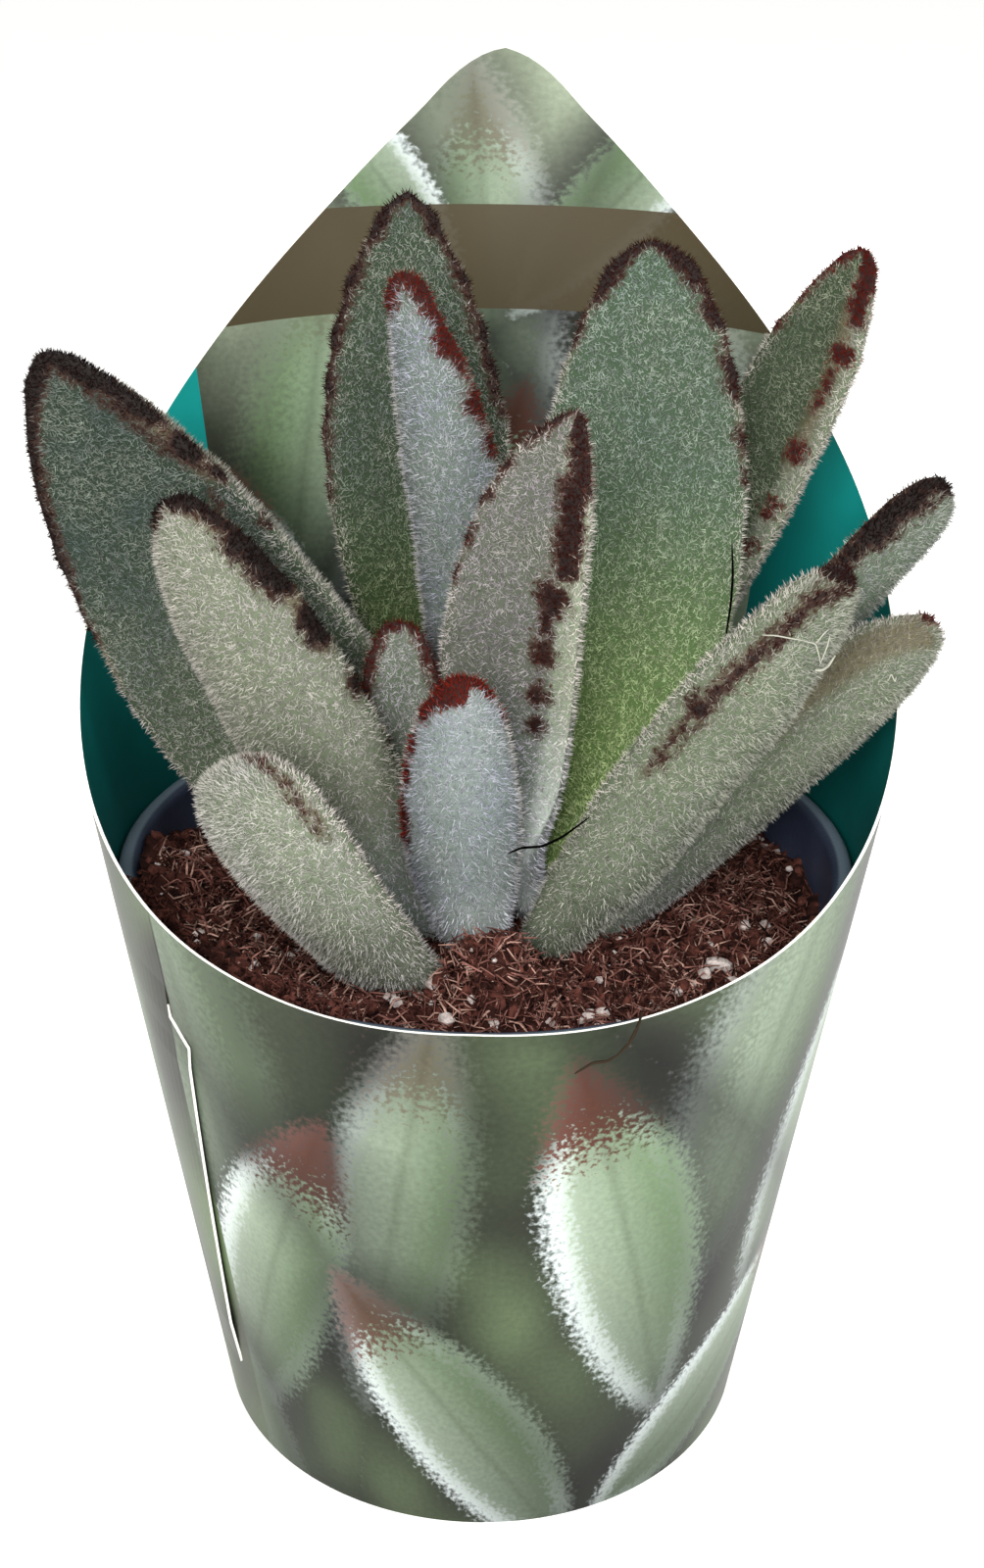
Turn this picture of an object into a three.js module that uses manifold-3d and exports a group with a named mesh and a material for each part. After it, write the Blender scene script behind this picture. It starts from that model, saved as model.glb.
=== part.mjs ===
// A panda plant (Kalanchoe tomentosa) in a 9 cm nursery pot inside a printed card sleeve.
// Millimetres, +Z up. The origin is the centre of the pot's base, where the pot stands.
// +X is to the right and -Y is the front, where the sleeve's rim is lowest.
import * as THREE from "three";
import { mergeVertices } from "three/addons/utils/BufferGeometryUtils.js";
import Module from "manifold-3d";

const wasm = await Module();
wasm.setup();

// ---- Driving dimensions -------------------------------------------------------------------
const SEAT_GAP = 0.3; // clearance kept between pieces that touch

const POT_HEIGHT = 77;
const POT_LIP_RADIUS = 45;
const POT_LIP_FOOT_RADIUS = 44.5;
const POT_LIP_WIDTH = 2.6;
const POT_LIP_BEVEL = 0.6;
const POT_LIP_DEPTH = 4;
const POT_WALL_TOP_RADIUS = 43; // outside, just under the lip
const POT_FOOT_RADIUS = 31;
const POT_WALL = 1;
const POT_PAD_RADIUS = 9; // flat pad in the middle of the base
const POT_FOOT_WIDTH = 4;
const POT_DRAIN_RAISE = 2.2; // height of the raised ring that holds the drain holes
const POT_DRAIN_SLOPE = 1.5; // width of the slopes on both sides of that ring
const DRAIN_HOLES = 6;
const DRAIN_HOLE_RADIUS = 3;
const DRAIN_CIRCLE_RADIUS = 18;

const SLEEVE_FOOT_RADIUS = 34.1; // inside
const SLEEVE_FLARE = 0.147; // growth of the radius per mm of height
const SLEEVE_CARD = 0.5;
const SLEEVE_TURN = -1.3; // degrees by which the sleeve is turned on the pot
const LAP_LIFT = 0.4; // how far the lapping edge stands off the card under it
const LAP_SINK = 0.02; // how deep the lap's hidden end starts inside the card
const LAP_START = -70; // the lap's hidden end, in degrees from the front

// The lapping edge at the front left, from its foot to the rim: [height, degrees from the
// front, share of LAP_LIFT]. The edge has a shoulder near the top.
const LAP_EDGE = [
  [12.5, -57, 0],
  [20, -55.8, 1],
  [43, -52, 1],
  [66, -48.3, 1],
  [68.7, -52.5, 1],
  [80.5, -52.5, 1],
];

const SOIL_CLEARANCE = 0.7; // room left round each leaf where the soil covers its neck
const SOIL_WALL_GAP = 0.5; // to the pot's wall
const SOIL_LEVEL = 70.5;
const SOIL_FLOOR = 4;
const SOIL_BANK = 2; // the soil is heaped this much against the crown
const SOIL_BANK_RADIUS = 16;
const SOIL_LUMP = { height: 0.5, perMmX: 0.31, perMmY: 0.27 };
const CROWN = { x: 0.5, y: -8 }; // where the stem stands

const STEM_RADIUS = 3.4;
const STEM_TOP_RADIUS = 2.4;
const STEM_FOOT = 42;
const STEM_TOP = 81;
const STEM_CAP = 1.5; // height of the growing point's blunt cone
const STEM_LEAN = { x: 1.0, y: 2.5 }; // how far the stem's top stands from above its foot

// Height of the sleeve's rim, in mm, at each number of degrees away from the front.
const RIM = [
  [0, 78.5],
  [30, 79.6],
  [60, 85.6],
  [90, 98.4],
  [120, 118.2],
  [150, 140.6],
  [168, 156],
  [176, 163],
  [180, 164.6],
];

// One entry for each leaf. height and heading say where its neck meets the stem: heading is
// in degrees, 0 to the right, 90 to the back. middle is the point that the leaf's spine
// passes halfway, tip is where it ends. facing is the compass direction of the blade's
// upper face. width and thick are the largest ones, base is the width of the neck, widest
// is where along its length the blade is widest, cup is how far the margins stand above
// the middle of the upper face, and point goes from 0 for a blunt tip to 1 for a sharp one.
const LEAVES = [
  {
    name: "leaf_left_tall",
    height: 68, heading: 152, facing: -104,
    middle: [-31, -2.2, 106.2], tip: [-49.7, -1.5, 138.2],
    width: 30.6, thick: 8.5, base: 3.8, widest: 0.38, cup: 2, point: 0.9,
  },
  {
    name: "leaf_left_front",
    height: 65.5, heading: 202, facing: 72,
    middle: [-21.1, -16.5, 101.2], tip: [-33.8, -18, 127],
    width: 16.8, thick: 6.5, base: 5, widest: 0.52, cup: 1, point: 0.5,
  },
  {
    name: "leaf_left_low",
    height: 60.5, heading: 230, facing: 48,
    middle: [-19, -27.6, 87.9], tip: [-25.3, -30, 102.5],
    width: 21, thick: 7.5, base: 6, widest: 0.58, cup: 0.5, point: 0,
  },
  {
    name: "leaf_young_back",
    height: 73, heading: 210, facing: -88,
    middle: [-9, -12.5, 97.5], tip: [-9.5, -10.5, 110.3],
    width: 9, thick: 3.5, base: 3.5, widest: 0.55, cup: 0.8, point: 0.6,
  },
  {
    name: "leaf_young_front",
    height: 67, heading: 262, facing: 90,
    middle: [-2.9, -20.5, 91.4], tip: [-2, -22, 108.6],
    width: 13, thick: 6, base: 4, widest: 0.45, cup: 0.5, point: 0.3,
  },
  {
    name: "leaf_back_left",
    height: 74, heading: 94, facing: -88,
    middle: [-7.7, 10, 114.7], tip: [-9.8, 16, 153],
    width: 21.5, thick: 5, base: 5, widest: 0.6, cup: 1.5, point: 1,
  },
  {
    name: "leaf_back_narrow",
    height: 77.5, heading: 182, facing: 82,
    middle: [-2.9, -1.5, 112.4], tip: [-10.3, 3.5, 146.4],
    width: 10.8, thick: 4.5, base: 4, widest: 0.6, cup: 1, point: 0.5,
  },
  {
    name: "leaf_centre",
    height: 74, heading: -34, facing: -112,
    middle: [2.8, -13.5, 107.6], tip: [9.4, -12.5, 135.2],
    width: 16, thick: 6, base: 4, widest: 0.5, cup: 1.5, point: 0.8,
  },
  {
    name: "leaf_back_right",
    height: 76.5, heading: 8, facing: -95,
    middle: [16.2, 4, 110], tip: [18, 9, 149],
    width: 26, thick: 6, base: 5, widest: 0.47, cup: 1, point: 0.2,
  },
  {
    name: "leaf_right_tall",
    height: 71, heading: 54, facing: -125,
    middle: [29.3, 15, 114.2], tip: [44.2, 20, 146.2],
    width: 13.2, thick: 6, base: 4.5, widest: 0.6, cup: 1.5, point: 0.5,
  },
  {
    name: "leaf_right_upper",
    height: 68, heading: 12, facing: 130,
    middle: [39.8, -1, 109.2], tip: [52.3, 2, 122.5],
    width: 9, thick: 5, base: 4.5, widest: 0.6, cup: 1, point: 0.6,
  },
  {
    name: "leaf_right_front",
    height: 64, heading: -55, facing: 125,
    middle: [22.4, -22.4, 99.9], tip: [38.5, -19, 119.6],
    width: 15, thick: 6.5, base: 5.2, widest: 0.45, cup: 1, point: 0.3,
  },
  {
    name: "leaf_right_low",
    height: 61, heading: -4, facing: 120,
    middle: [33.6, -7.5, 93.4], tip: [51.4, -6.5, 108.9],
    width: 13.5, thick: 6, base: 4.5, widest: 0.55, cup: 1, point: 0.3,
  },
  {
    name: "leaf_rear_right",
    height: 65, heading: 72, facing: -98,
    middle: [11, 20, 99], tip: [13, 32, 122],
    width: 18, thick: 5, base: 5, widest: 0.6, cup: 1.5, point: 0.7,
  },
  {
    name: "leaf_rear_left",
    height: 62, heading: 128, facing: -75,
    middle: [-8.5, 16, 94], tip: [-7, 29, 112],
    width: 17, thick: 5, base: 5, widest: 0.6, cup: 1.5, point: 0.7,
  },
];

const NECK_THICK = 3.4; // every leaf's thickness where it meets the stem
const NECK_SHARE = 0.28; // the neck turns into the blade over this share of the length
const NECK_CLEARANCE = 0.4; // keeps the neck's slanting end off the stem
const BELLY = 0.8; // share of the blade's thickness that lies under its margins
const THIN_FROM = 0.45; // the blade thins from this share of its length to the tip
const THIN_CURVE = 2.6;
const BLUNT_TIP = { inner: 2.3, outer: 0.5 }; // exponents of the outline past the widest place
const SHARP_TIP = { inner: 1.7, outer: 0.7 };

// ---- Fineness of the meshes ---------------------------------------------------------------
const LEAF_RINGS = 12;
const LEAF_SIDES = 16;
const RING_SPREAD = 1.5; // above 1, a leaf's rings lie closer together towards the tip
const POT_SEGMENTS = 64;
const HOLE_SEGMENTS = 16;
const SLEEVE_STEP = 3; // degrees
const SLEEVE_LEVELS = 4;
const LAP_COLUMNS = 8;
const RIM_STEPS = 360;
const STEM_SIDES = 20;
const STEM_LEVELS = 8;
const SOIL_SEGMENTS = 48;
const SOIL_RINGS = 12;
const WELD = 1e-4; // vertices nearer than this are one

// ---- Materials ----------------------------------------------------------------------------
function finish(color, roughness) {
  return new THREE.MeshStandardMaterial({ color, roughness, metalness: 0 });
}

const MATERIALS = {
  leaf: finish(0x8fa287, 0.9),
  stem: finish(0x8a7d62, 0.85),
  soil: finish(0x3d231a, 1),
  pot: finish(0x232838, 0.45),
  card: finish(0x6f8a68, 0.35),
};

// ---- Helpers ------------------------------------------------------------------------------
const { degToRad: radians, lerp } = THREE.MathUtils;
const clamp01 = (t) => THREE.MathUtils.clamp(t, 0, 1);
const smooth = (t) => THREE.MathUtils.smoothstep(t, 0, 1);

// An angle in degrees brought to between -180 and 180.
const wrap = (angle) => ((((angle + 180) % 360) + 360) % 360) - 180;

// count points round a circle about the Z axis.
function circle(radius, count, height) {
  const points = [];
  for (let i = 0; i < count; i++) {
    const around = (i / count) * 2 * Math.PI;
    points.push(new THREE.Vector3(radius * Math.cos(around), radius * Math.sin(around), height));
  }
  return points;
}

// A closed geometry as a manifold-3d solid.
function toSolid(geometry) {
  const bare = geometry.clone();
  bare.deleteAttribute("normal");
  bare.deleteAttribute("uv");
  const merged = mergeVertices(bare, WELD);
  return new wasm.Manifold(
    new wasm.Mesh({
      numProp: 3,
      vertProperties: merged.attributes.position.array,
      triVerts: new Uint32Array(merged.index.array),
    }),
  );
}

// A manifold-3d solid as a geometry.
function toGeometry(solid) {
  const mesh = solid.getMesh();
  const geometry = new THREE.BufferGeometry();
  geometry.setAttribute("position", new THREE.BufferAttribute(mesh.vertProperties, 3));
  geometry.setIndex(new THREE.BufferAttribute(mesh.triVerts, 1));
  geometry.computeVertexNormals();
  return geometry;
}

// A closed skin over rings of as many points each, its ends drawn to the points first and last.
function skin(rings, first, last) {
  const sides = rings[0].length;
  const positions = [];
  const index = [];
  rings.forEach((ring) => ring.forEach((p) => positions.push(p.x, p.y, p.z)));
  const at = (ring, side) => ring * sides + (side % sides);
  for (let i = 0; i + 1 < rings.length; i++) {
    for (let j = 0; j < sides; j++) {
      index.push(at(i, j), at(i, j + 1), at(i + 1, j + 1));
      index.push(at(i, j), at(i + 1, j + 1), at(i + 1, j));
    }
  }
  const start = rings.length * sides;
  positions.push(first.x, first.y, first.z, last.x, last.y, last.z);
  for (let j = 0; j < sides; j++) {
    index.push(start, at(0, j + 1), at(0, j));
    index.push(start + 1, at(rings.length - 1, j), at(rings.length - 1, j + 1));
  }
  const geometry = new THREE.BufferGeometry();
  geometry.setAttribute("position", new THREE.Float32BufferAttribute(positions, 3));
  geometry.setIndex(index);
  geometry.computeVertexNormals();
  return geometry;
}

// The middle of a list of points.
function average(points) {
  const sum = new THREE.Vector3();
  for (const p of points) sum.add(p);
  return sum.divideScalar(points.length);
}

// A lathe about the Z axis from [radius, height] pairs.
function lathe(profile, segments) {
  const points = profile.map(([r, z]) => new THREE.Vector2(r, z));
  return new THREE.LatheGeometry(points, segments).rotateX(Math.PI / 2);
}

// ---- Nursery pot --------------------------------------------------------------------------
const LIP_FOOT = POT_HEIGHT - POT_LIP_DEPTH;
const potWallRadius = (z) => lerp(POT_FOOT_RADIUS, POT_WALL_TOP_RADIUS, z / LIP_FOOT);

function nurseryPot() {
  const footInner = POT_FOOT_RADIUS - POT_FOOT_WIDTH;
  const floorTop = POT_DRAIN_RAISE + POT_WALL;
  const profile = [
    [0, 0],
    [POT_PAD_RADIUS, 0],
    [POT_PAD_RADIUS + POT_DRAIN_SLOPE, POT_DRAIN_RAISE],
    [footInner - POT_DRAIN_SLOPE, POT_DRAIN_RAISE],
    [footInner, 0],
    [POT_FOOT_RADIUS, 0],
    [POT_WALL_TOP_RADIUS, LIP_FOOT],
    [POT_LIP_FOOT_RADIUS, LIP_FOOT],
    [POT_LIP_RADIUS, POT_HEIGHT - POT_LIP_BEVEL],
    [POT_LIP_RADIUS - POT_LIP_BEVEL, POT_HEIGHT],
    [POT_LIP_RADIUS - POT_LIP_WIDTH, POT_HEIGHT],
    [POT_WALL_TOP_RADIUS - POT_WALL, LIP_FOOT],
    [potWallRadius(POT_DRAIN_RAISE) - POT_WALL, floorTop],
    [0, floorTop],
  ];
  let solid = toSolid(lathe(profile, POT_SEGMENTS));
  const length = 4 * floorTop;
  for (const centre of circle(DRAIN_CIRCLE_RADIUS, DRAIN_HOLES, floorTop)) {
    const hole = new THREE.CylinderGeometry(DRAIN_HOLE_RADIUS, DRAIN_HOLE_RADIUS, length, HOLE_SEGMENTS);
    hole.rotateX(Math.PI / 2);
    hole.translate(centre.x, centre.y, centre.z);
    solid = solid.subtract(toSolid(hole));
  }
  return toGeometry(solid);
}

// ---- Card sleeve --------------------------------------------------------------------------
const rimCurve = new THREE.SplineCurve(RIM.map(([angle, z]) => new THREE.Vector2(angle, z)));
const rimPoints = rimCurve.getPoints(RIM_STEPS);

// Height of the rim at an angle in degrees from the front, either way round.
function rimHeight(angle) {
  const away = Math.abs(wrap(angle - SLEEVE_TURN));
  const next = rimPoints.findIndex((p) => p.x >= away);
  if (next <= 0) return rimPoints[0].y;
  const a = rimPoints[next - 1];
  const b = rimPoints[next];
  return lerp(a.y, b.y, (away - a.x) / (b.x - a.x));
}

const sleeveRadius = (z) => SLEEVE_FOOT_RADIUS + SLEEVE_FLARE * z;

// A point that stands `out` mm outside the sleeve's inner face. Angle 0 is the front.
function onSleeve(angle, z, out) {
  const r = sleeveRadius(z) + out;
  return new THREE.Vector3(r * Math.sin(radians(angle)), -r * Math.cos(radians(angle)), z);
}

// The card as a closed loop of columns. Each column runs up the outer face and down the inner.
function cardSleeve() {
  const columns = 360 / SLEEVE_STEP;
  const loop = 2 * (SLEEVE_LEVELS + 1);
  const positions = [];
  const index = [];
  for (let i = 0; i < columns; i++) {
    const angle = i * SLEEVE_STEP;
    const point = (level, out) => onSleeve(angle, (rimHeight(angle) * level) / SLEEVE_LEVELS, out);
    for (let k = 0; k <= SLEEVE_LEVELS; k++) positions.push(...point(k, SLEEVE_CARD));
    for (let k = SLEEVE_LEVELS; k >= 0; k--) positions.push(...point(k, 0));
  }
  for (let i = 0; i < columns; i++) {
    const a = i * loop;
    const b = ((i + 1) % columns) * loop;
    for (let k = 0; k < loop; k++) {
      const n = (k + 1) % loop;
      index.push(a + k, b + k, b + n);
      index.push(a + k, b + n, a + n);
    }
  }
  const geometry = new THREE.BufferGeometry();
  geometry.setAttribute("position", new THREE.Float32BufferAttribute(positions, 3));
  geometry.setIndex(index);
  return toGeometry(toSolid(geometry).add(lapFlap()));
}

// The end of the card that laps over its other end. It rises out of the sleeve at LAP_START.
function lapFlap() {
  const rings = [];
  for (let i = 0; i <= LAP_COLUMNS; i++) {
    const t = i / LAP_COLUMNS;
    const point = ([z, edge, lift], out) => {
      const raised = lerp(-LAP_SINK, SLEEVE_CARD + LAP_LIFT * lift, smooth(t));
      return onSleeve(lerp(LAP_START, edge, t), z, raised + out);
    };
    const inner = LAP_EDGE.map((row) => point(row, 0));
    const outer = LAP_EDGE.map((row) => point(row, SLEEVE_CARD)).reverse();
    rings.push([...inner, ...outer]);
  }
  return toSolid(skin(rings, average(rings[0]), average(rings[LAP_COLUMNS])));
}

// ---- Stem ---------------------------------------------------------------------------------
// How far up z is between the soil, 0, and the stem's top, 1.
const stemShare = (z) => clamp01((z - SOIL_LEVEL) / (STEM_TOP - SOIL_LEVEL));
const stemRadius = (z) => lerp(STEM_RADIUS, STEM_TOP_RADIUS, stemShare(z));

function stemCentre(z) {
  const t = stemShare(z);
  return new THREE.Vector3(CROWN.x + STEM_LEAN.x * t, CROWN.y + STEM_LEAN.y * t, z);
}

// The stem, or with `grow` the space that it takes up with that much room all round.
function stemGeometry(grow = 0) {
  const rings = [];
  for (let i = 0; i <= STEM_LEVELS; i++) {
    const z = lerp(STEM_FOOT - grow, STEM_TOP + grow, i / STEM_LEVELS);
    rings.push(circle(stemRadius(z) + grow, STEM_SIDES, 0).map((p) => p.add(stemCentre(z))));
  }
  const top = stemCentre(STEM_TOP + grow);
  top.z += STEM_CAP;
  return skin(rings, stemCentre(STEM_FOOT - grow), top);
}

// ---- Leaves -------------------------------------------------------------------------------
// Half the blade's width at s, from 0 at the neck to 1 at the tip.
function halfWidth(leaf, s) {
  if (s < leaf.widest) {
    const swell = Math.sin((Math.PI / 2) * (s / leaf.widest));
    return lerp(leaf.base, leaf.width, swell) / 2;
  }
  const u = (s - leaf.widest) / (1 - leaf.widest);
  const blunt = (1 - u ** BLUNT_TIP.inner) ** BLUNT_TIP.outer;
  const sharp = (1 - u ** SHARP_TIP.inner) ** SHARP_TIP.outer;
  return (leaf.width / 2) * lerp(blunt, sharp, leaf.point);
}

// The blade's thickness at s.
function thickness(leaf, s) {
  const body = lerp(NECK_THICK, leaf.thick, smooth(s / NECK_SHARE));
  const u = clamp01((s - THIN_FROM) / (1 - THIN_FROM));
  return body * Math.sqrt(1 - u ** THIN_CURVE);
}

// A level direction from its compass angle in degrees.
const compass = (angle) => new THREE.Vector3(Math.cos(radians(angle)), Math.sin(radians(angle)), 0);

// The upper face's direction and the direction across the blade, square to the spine. The
// neck faces the stem, and the leaf twists from there to its own facing.
function bladeFrame(leaf, s, along) {
  const inward = leaf.heading + 180;
  const twist = wrap(leaf.facing - inward);
  const facing = compass(inward + twist * smooth(s / NECK_SHARE));
  const up = facing.addScaledVector(along, -facing.dot(along)).normalize();
  return { up, side: up.clone().cross(along) };
}

// The spine, from the neck's seat on the stem to the tip.
function leafSpine(leaf) {
  const tip = new THREE.Vector3(...leaf.tip);
  const middle = new THREE.Vector3(...leaf.middle);
  const out = compass(leaf.heading);
  const seat = stemCentre(leaf.height).addScaledVector(out, stemRadius(leaf.height) + SEAT_GAP);
  const rise = middle.clone().sub(seat).normalize().z;
  const foot = seat.addScaledVector(out, (NECK_THICK / 2) * rise + NECK_CLEARANCE);
  const ends = foot.clone().add(tip);
  const control = middle.clone().multiplyScalar(2).addScaledVector(ends, -0.5);
  return new THREE.QuadraticBezierCurve3(foot, control, tip);
}

// A leaf, or with `grow` the space that it takes up with that much room all round.
function leafGeometry(leaf, grow = 0) {
  const spine = leafSpine(leaf);
  const rings = [];
  for (let i = 0; i < LEAF_RINGS; i++) {
    const s = 1 - (1 - i / LEAF_RINGS) ** RING_SPREAD;
    const centre = spine.getPoint(s);
    const { up, side } = bladeFrame(leaf, s, spine.getTangent(s));
    const blade = smooth(s / NECK_SHARE);
    const w = halfWidth(leaf, s);
    const under = thickness(leaf, s) * lerp(0.5, BELLY, blade);
    const over = thickness(leaf, s) - under;
    const cup = leaf.cup * blade * (w / (leaf.width / 2));
    const section = circle(1, LEAF_SIDES, 0).map(({ x, y }) => {
      const depth = (y > 0 ? over : under) + grow;
      const across = side.clone().multiplyScalar((w + grow) * x);
      return across.addScaledVector(up, depth * y + cup * x ** 2).add(centre);
    });
    rings.push(section);
  }
  const back = spine.getTangent(0).multiplyScalar(-grow);
  if (grow > 0) rings.unshift(rings[0].map((p) => p.clone().add(back)));
  const first = spine.getPoint(0).add(back);
  const last = spine.getPoint(1).addScaledVector(spine.getTangent(1), grow);
  return skin(rings, first, last);
}

// ---- Potting soil -------------------------------------------------------------------------
// The top is nearly level by the wall and is heaped against the crown.
function soilTop(x, y) {
  const fromCrown = Math.hypot(x - CROWN.x, y - CROWN.y);
  const bank = SOIL_BANK * (1 - smooth(fromCrown / SOIL_BANK_RADIUS));
  const lumps = Math.sin(x * SOIL_LUMP.perMmX + 1) * Math.cos(y * SOIL_LUMP.perMmY);
  return SOIL_LEVEL + bank + SOIL_LUMP.height * lumps;
}

function pottingSoil() {
  const reach = potWallRadius(SOIL_LEVEL) - POT_WALL - SOIL_WALL_GAP;
  const foot = potWallRadius(SOIL_FLOOR) - POT_WALL - SOIL_WALL_GAP;
  const rings = [circle(foot / 2, SOIL_SEGMENTS, SOIL_FLOOR), circle(foot, SOIL_SEGMENTS, SOIL_FLOOR)];
  for (let i = 0; i < SOIL_RINGS; i++) {
    const ring = circle(reach * (1 - i / SOIL_RINGS), SOIL_SEGMENTS, 0);
    for (const p of ring) p.z = soilTop(p.x, p.y);
    rings.push(ring);
  }
  const first = new THREE.Vector3(0, 0, SOIL_FLOOR);
  const last = new THREE.Vector3(0, 0, soilTop(0, 0));
  let solid = toSolid(skin(rings, first, last)).subtract(toSolid(stemGeometry(SEAT_GAP)));
  for (const leaf of LEAVES) solid = solid.subtract(toSolid(leafGeometry(leaf, SOIL_CLEARANCE)));
  return toGeometry(solid);
}

// ---- Assembly -----------------------------------------------------------------------------
const plant = new THREE.Group();

function place(name, geometry, material) {
  const mesh = new THREE.Mesh(geometry, material);
  mesh.name = name;
  plant.add(mesh);
}

place("nursery_pot", nurseryPot(), MATERIALS.pot);
place("card_sleeve", cardSleeve(), MATERIALS.card);
place("potting_soil", pottingSoil(), MATERIALS.soil);
place("stem", stemGeometry(), MATERIALS.stem);
for (const leaf of LEAVES) place(leaf.name, leafGeometry(leaf), MATERIALS.leaf);

export default plant;
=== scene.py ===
"""A panda plant in a nursery pot with a printed card sleeve, laid out as a Blender add-on.

Lengths are millimetres in the tables and metres in Blender. +Z is up, +X is right and -Y is
the front. Run as a script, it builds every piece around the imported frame.
"""

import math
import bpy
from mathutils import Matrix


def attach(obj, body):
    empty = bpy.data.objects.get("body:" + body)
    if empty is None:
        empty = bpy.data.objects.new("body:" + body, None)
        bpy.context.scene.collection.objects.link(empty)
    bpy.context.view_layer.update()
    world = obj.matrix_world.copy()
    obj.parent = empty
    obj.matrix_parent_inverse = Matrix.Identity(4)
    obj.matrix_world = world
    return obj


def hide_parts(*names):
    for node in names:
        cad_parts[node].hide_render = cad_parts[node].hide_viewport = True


bl_info = {
    "name": "Panda Plant",
    "version": (1, 0, 0),
    "blender": (4, 5, 0),
    "location": "View3D > Sidebar > Panda Plant",
    "description": "Builds a felted succulent in its nursery pot and printed card sleeve",
    "category": "Add Mesh",
}

import bmesh
import bpy
import numpy as np
from bpy.props import FloatProperty, FloatVectorProperty, IntProperty, PointerProperty
from bpy.types import Operator, Panel, PropertyGroup
from mathutils import Euler, Matrix, Vector

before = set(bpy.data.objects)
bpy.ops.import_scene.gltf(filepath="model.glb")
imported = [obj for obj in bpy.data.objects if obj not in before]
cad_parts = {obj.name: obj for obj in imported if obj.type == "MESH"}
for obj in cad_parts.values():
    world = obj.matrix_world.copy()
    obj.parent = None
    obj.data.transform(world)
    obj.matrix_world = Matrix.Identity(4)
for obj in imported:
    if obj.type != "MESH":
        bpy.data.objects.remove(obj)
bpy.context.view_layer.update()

MM = 0.001
BODY = "root"
SHARP = math.radians(40)  # edges with a sharper bend than this aren't shaded smooth


# ---- Colours and small helpers ------------------------------------------------------------
def shade(code):
    """A six-digit sRGB hex code as a linear colour."""
    parts = [int(code[i : i + 2], 16) / 255 for i in (0, 2, 4)]
    return tuple(p / 12.92 if p <= 0.04045 else ((p + 0.055) / 1.055) ** 2.4 for p in parts)


def opaque(colour):
    """A linear colour or a hex code with an alpha of 1, as a node's colour socket holds it."""
    return (*(shade(colour) if isinstance(colour, str) else colour)[:3], 1.0)


def lerp(a, b, t):
    return a + (b - a) * t


def smooth(t):
    """0 below 0, 1 above 1 and a smooth step between."""
    t = np.clip(t, 0.0, 1.0)
    return t * t * (3 - 2 * t)


def wrap(angle):
    """Degrees brought to between -180 and 180."""
    return (angle + 180) % 360 - 180


def compass(angle):
    """Level unit vectors from compass angles in degrees, 0 to the right and 90 to the back."""
    angle = np.radians(np.atleast_1d(angle))
    return np.stack([np.cos(angle), np.sin(angle), np.zeros_like(angle)], -1)


def unit(vectors):
    return vectors / np.linalg.norm(vectors, axis=-1, keepdims=True)


def value_noise(points, cell, seed):
    """Smooth random values from -1 to 1 at points, with a new one every `cell`."""
    table_size = 4096
    primes = (73856093, 19349663, 83492791)
    table = np.random.default_rng(seed).uniform(-1, 1, table_size)
    corner0 = np.floor(points / cell).astype(np.int64)
    part = smooth(points / cell - corner0)
    total = np.zeros(len(points))
    for corner in np.ndindex(2, 2, 2):
        at = corner0 + corner
        key = (at[:, 0] * primes[0]) ^ (at[:, 1] * primes[1]) ^ (at[:, 2] * primes[2])
        weight = np.prod(np.where(corner, part, 1 - part), axis=1)
        total += weight * table[key % table_size]
    return total


def circle(count):
    """Points spread evenly round the unit circle."""
    around = np.arange(count) / count * 2 * np.pi
    return np.stack([np.cos(around), np.sin(around)], -1)


# The kinds of node that the trees use most.
MATHS, VECTORS = "ShaderNodeMath", "ShaderNodeVectorMath"
MIX, RANGE, FIELD = "ShaderNodeMix", "ShaderNodeMapRange", "ShaderNodeAttribute"
RANDOM, INSTANCES = "FunctionNodeRandomValue", "GeometryNodeInstanceOnPoints"


def plug(tree, value, socket):
    """Gives an input a value, or links it to an output or to a node's first output in use."""
    if isinstance(value, bpy.types.Node):
        value = next(output for output in value.outputs if output.enabled)
    if isinstance(value, bpy.types.NodeSocket):
        tree.links.new(value, socket)
    else:
        socket.default_value = value


def add(tree, kind, inputs=(), **settings):
    """Adds a node. inputs holds what its inputs in use are given, in their order or by name."""
    made = tree.nodes.new(kind)
    for name, value in settings.items():
        setattr(made, name, value)
    sockets = [socket for socket in made.inputs if socket.enabled]
    for key, value in inputs.items() if isinstance(inputs, dict) else enumerate(inputs):
        socket = sockets[key] if isinstance(key, int) else next(s for s in sockets if s.name == key)
        plug(tree, value, socket)
    return made


def chain(tree, kind, value, *steps):
    """Adds nodes of one kind in a row. Each step is an operation and its other inputs."""
    for operation, *inputs in steps:
        value = add(tree, kind, [value, *inputs], operation=operation)
    return value


def lumps(tree, cell, detail=2.0):
    """Soft random lumps about `cell` metres apart, fixed to the piece."""
    place = add(tree, "ShaderNodeTexCoord").outputs["Object"]
    return add(tree, "ShaderNodeTexNoise", {"Vector": place, "Scale": 1 / cell, "Detail": detail})


def mesh_object(name, points, faces, materials=(), smooth_faces=True):
    """A new object at the origin whose mesh holds points, given in millimetres."""
    mesh = bpy.data.meshes.new(name)
    mesh.from_pydata((np.asarray(points) * MM).tolist(), [], faces)
    mesh.update()
    for material in materials:
        mesh.materials.append(material)
    mesh.polygons.foreach_set("use_smooth", [smooth_faces] * len(mesh.polygons))
    made = bpy.data.objects.new(name, mesh)
    bpy.context.scene.collection.objects.link(made)
    return made


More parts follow.
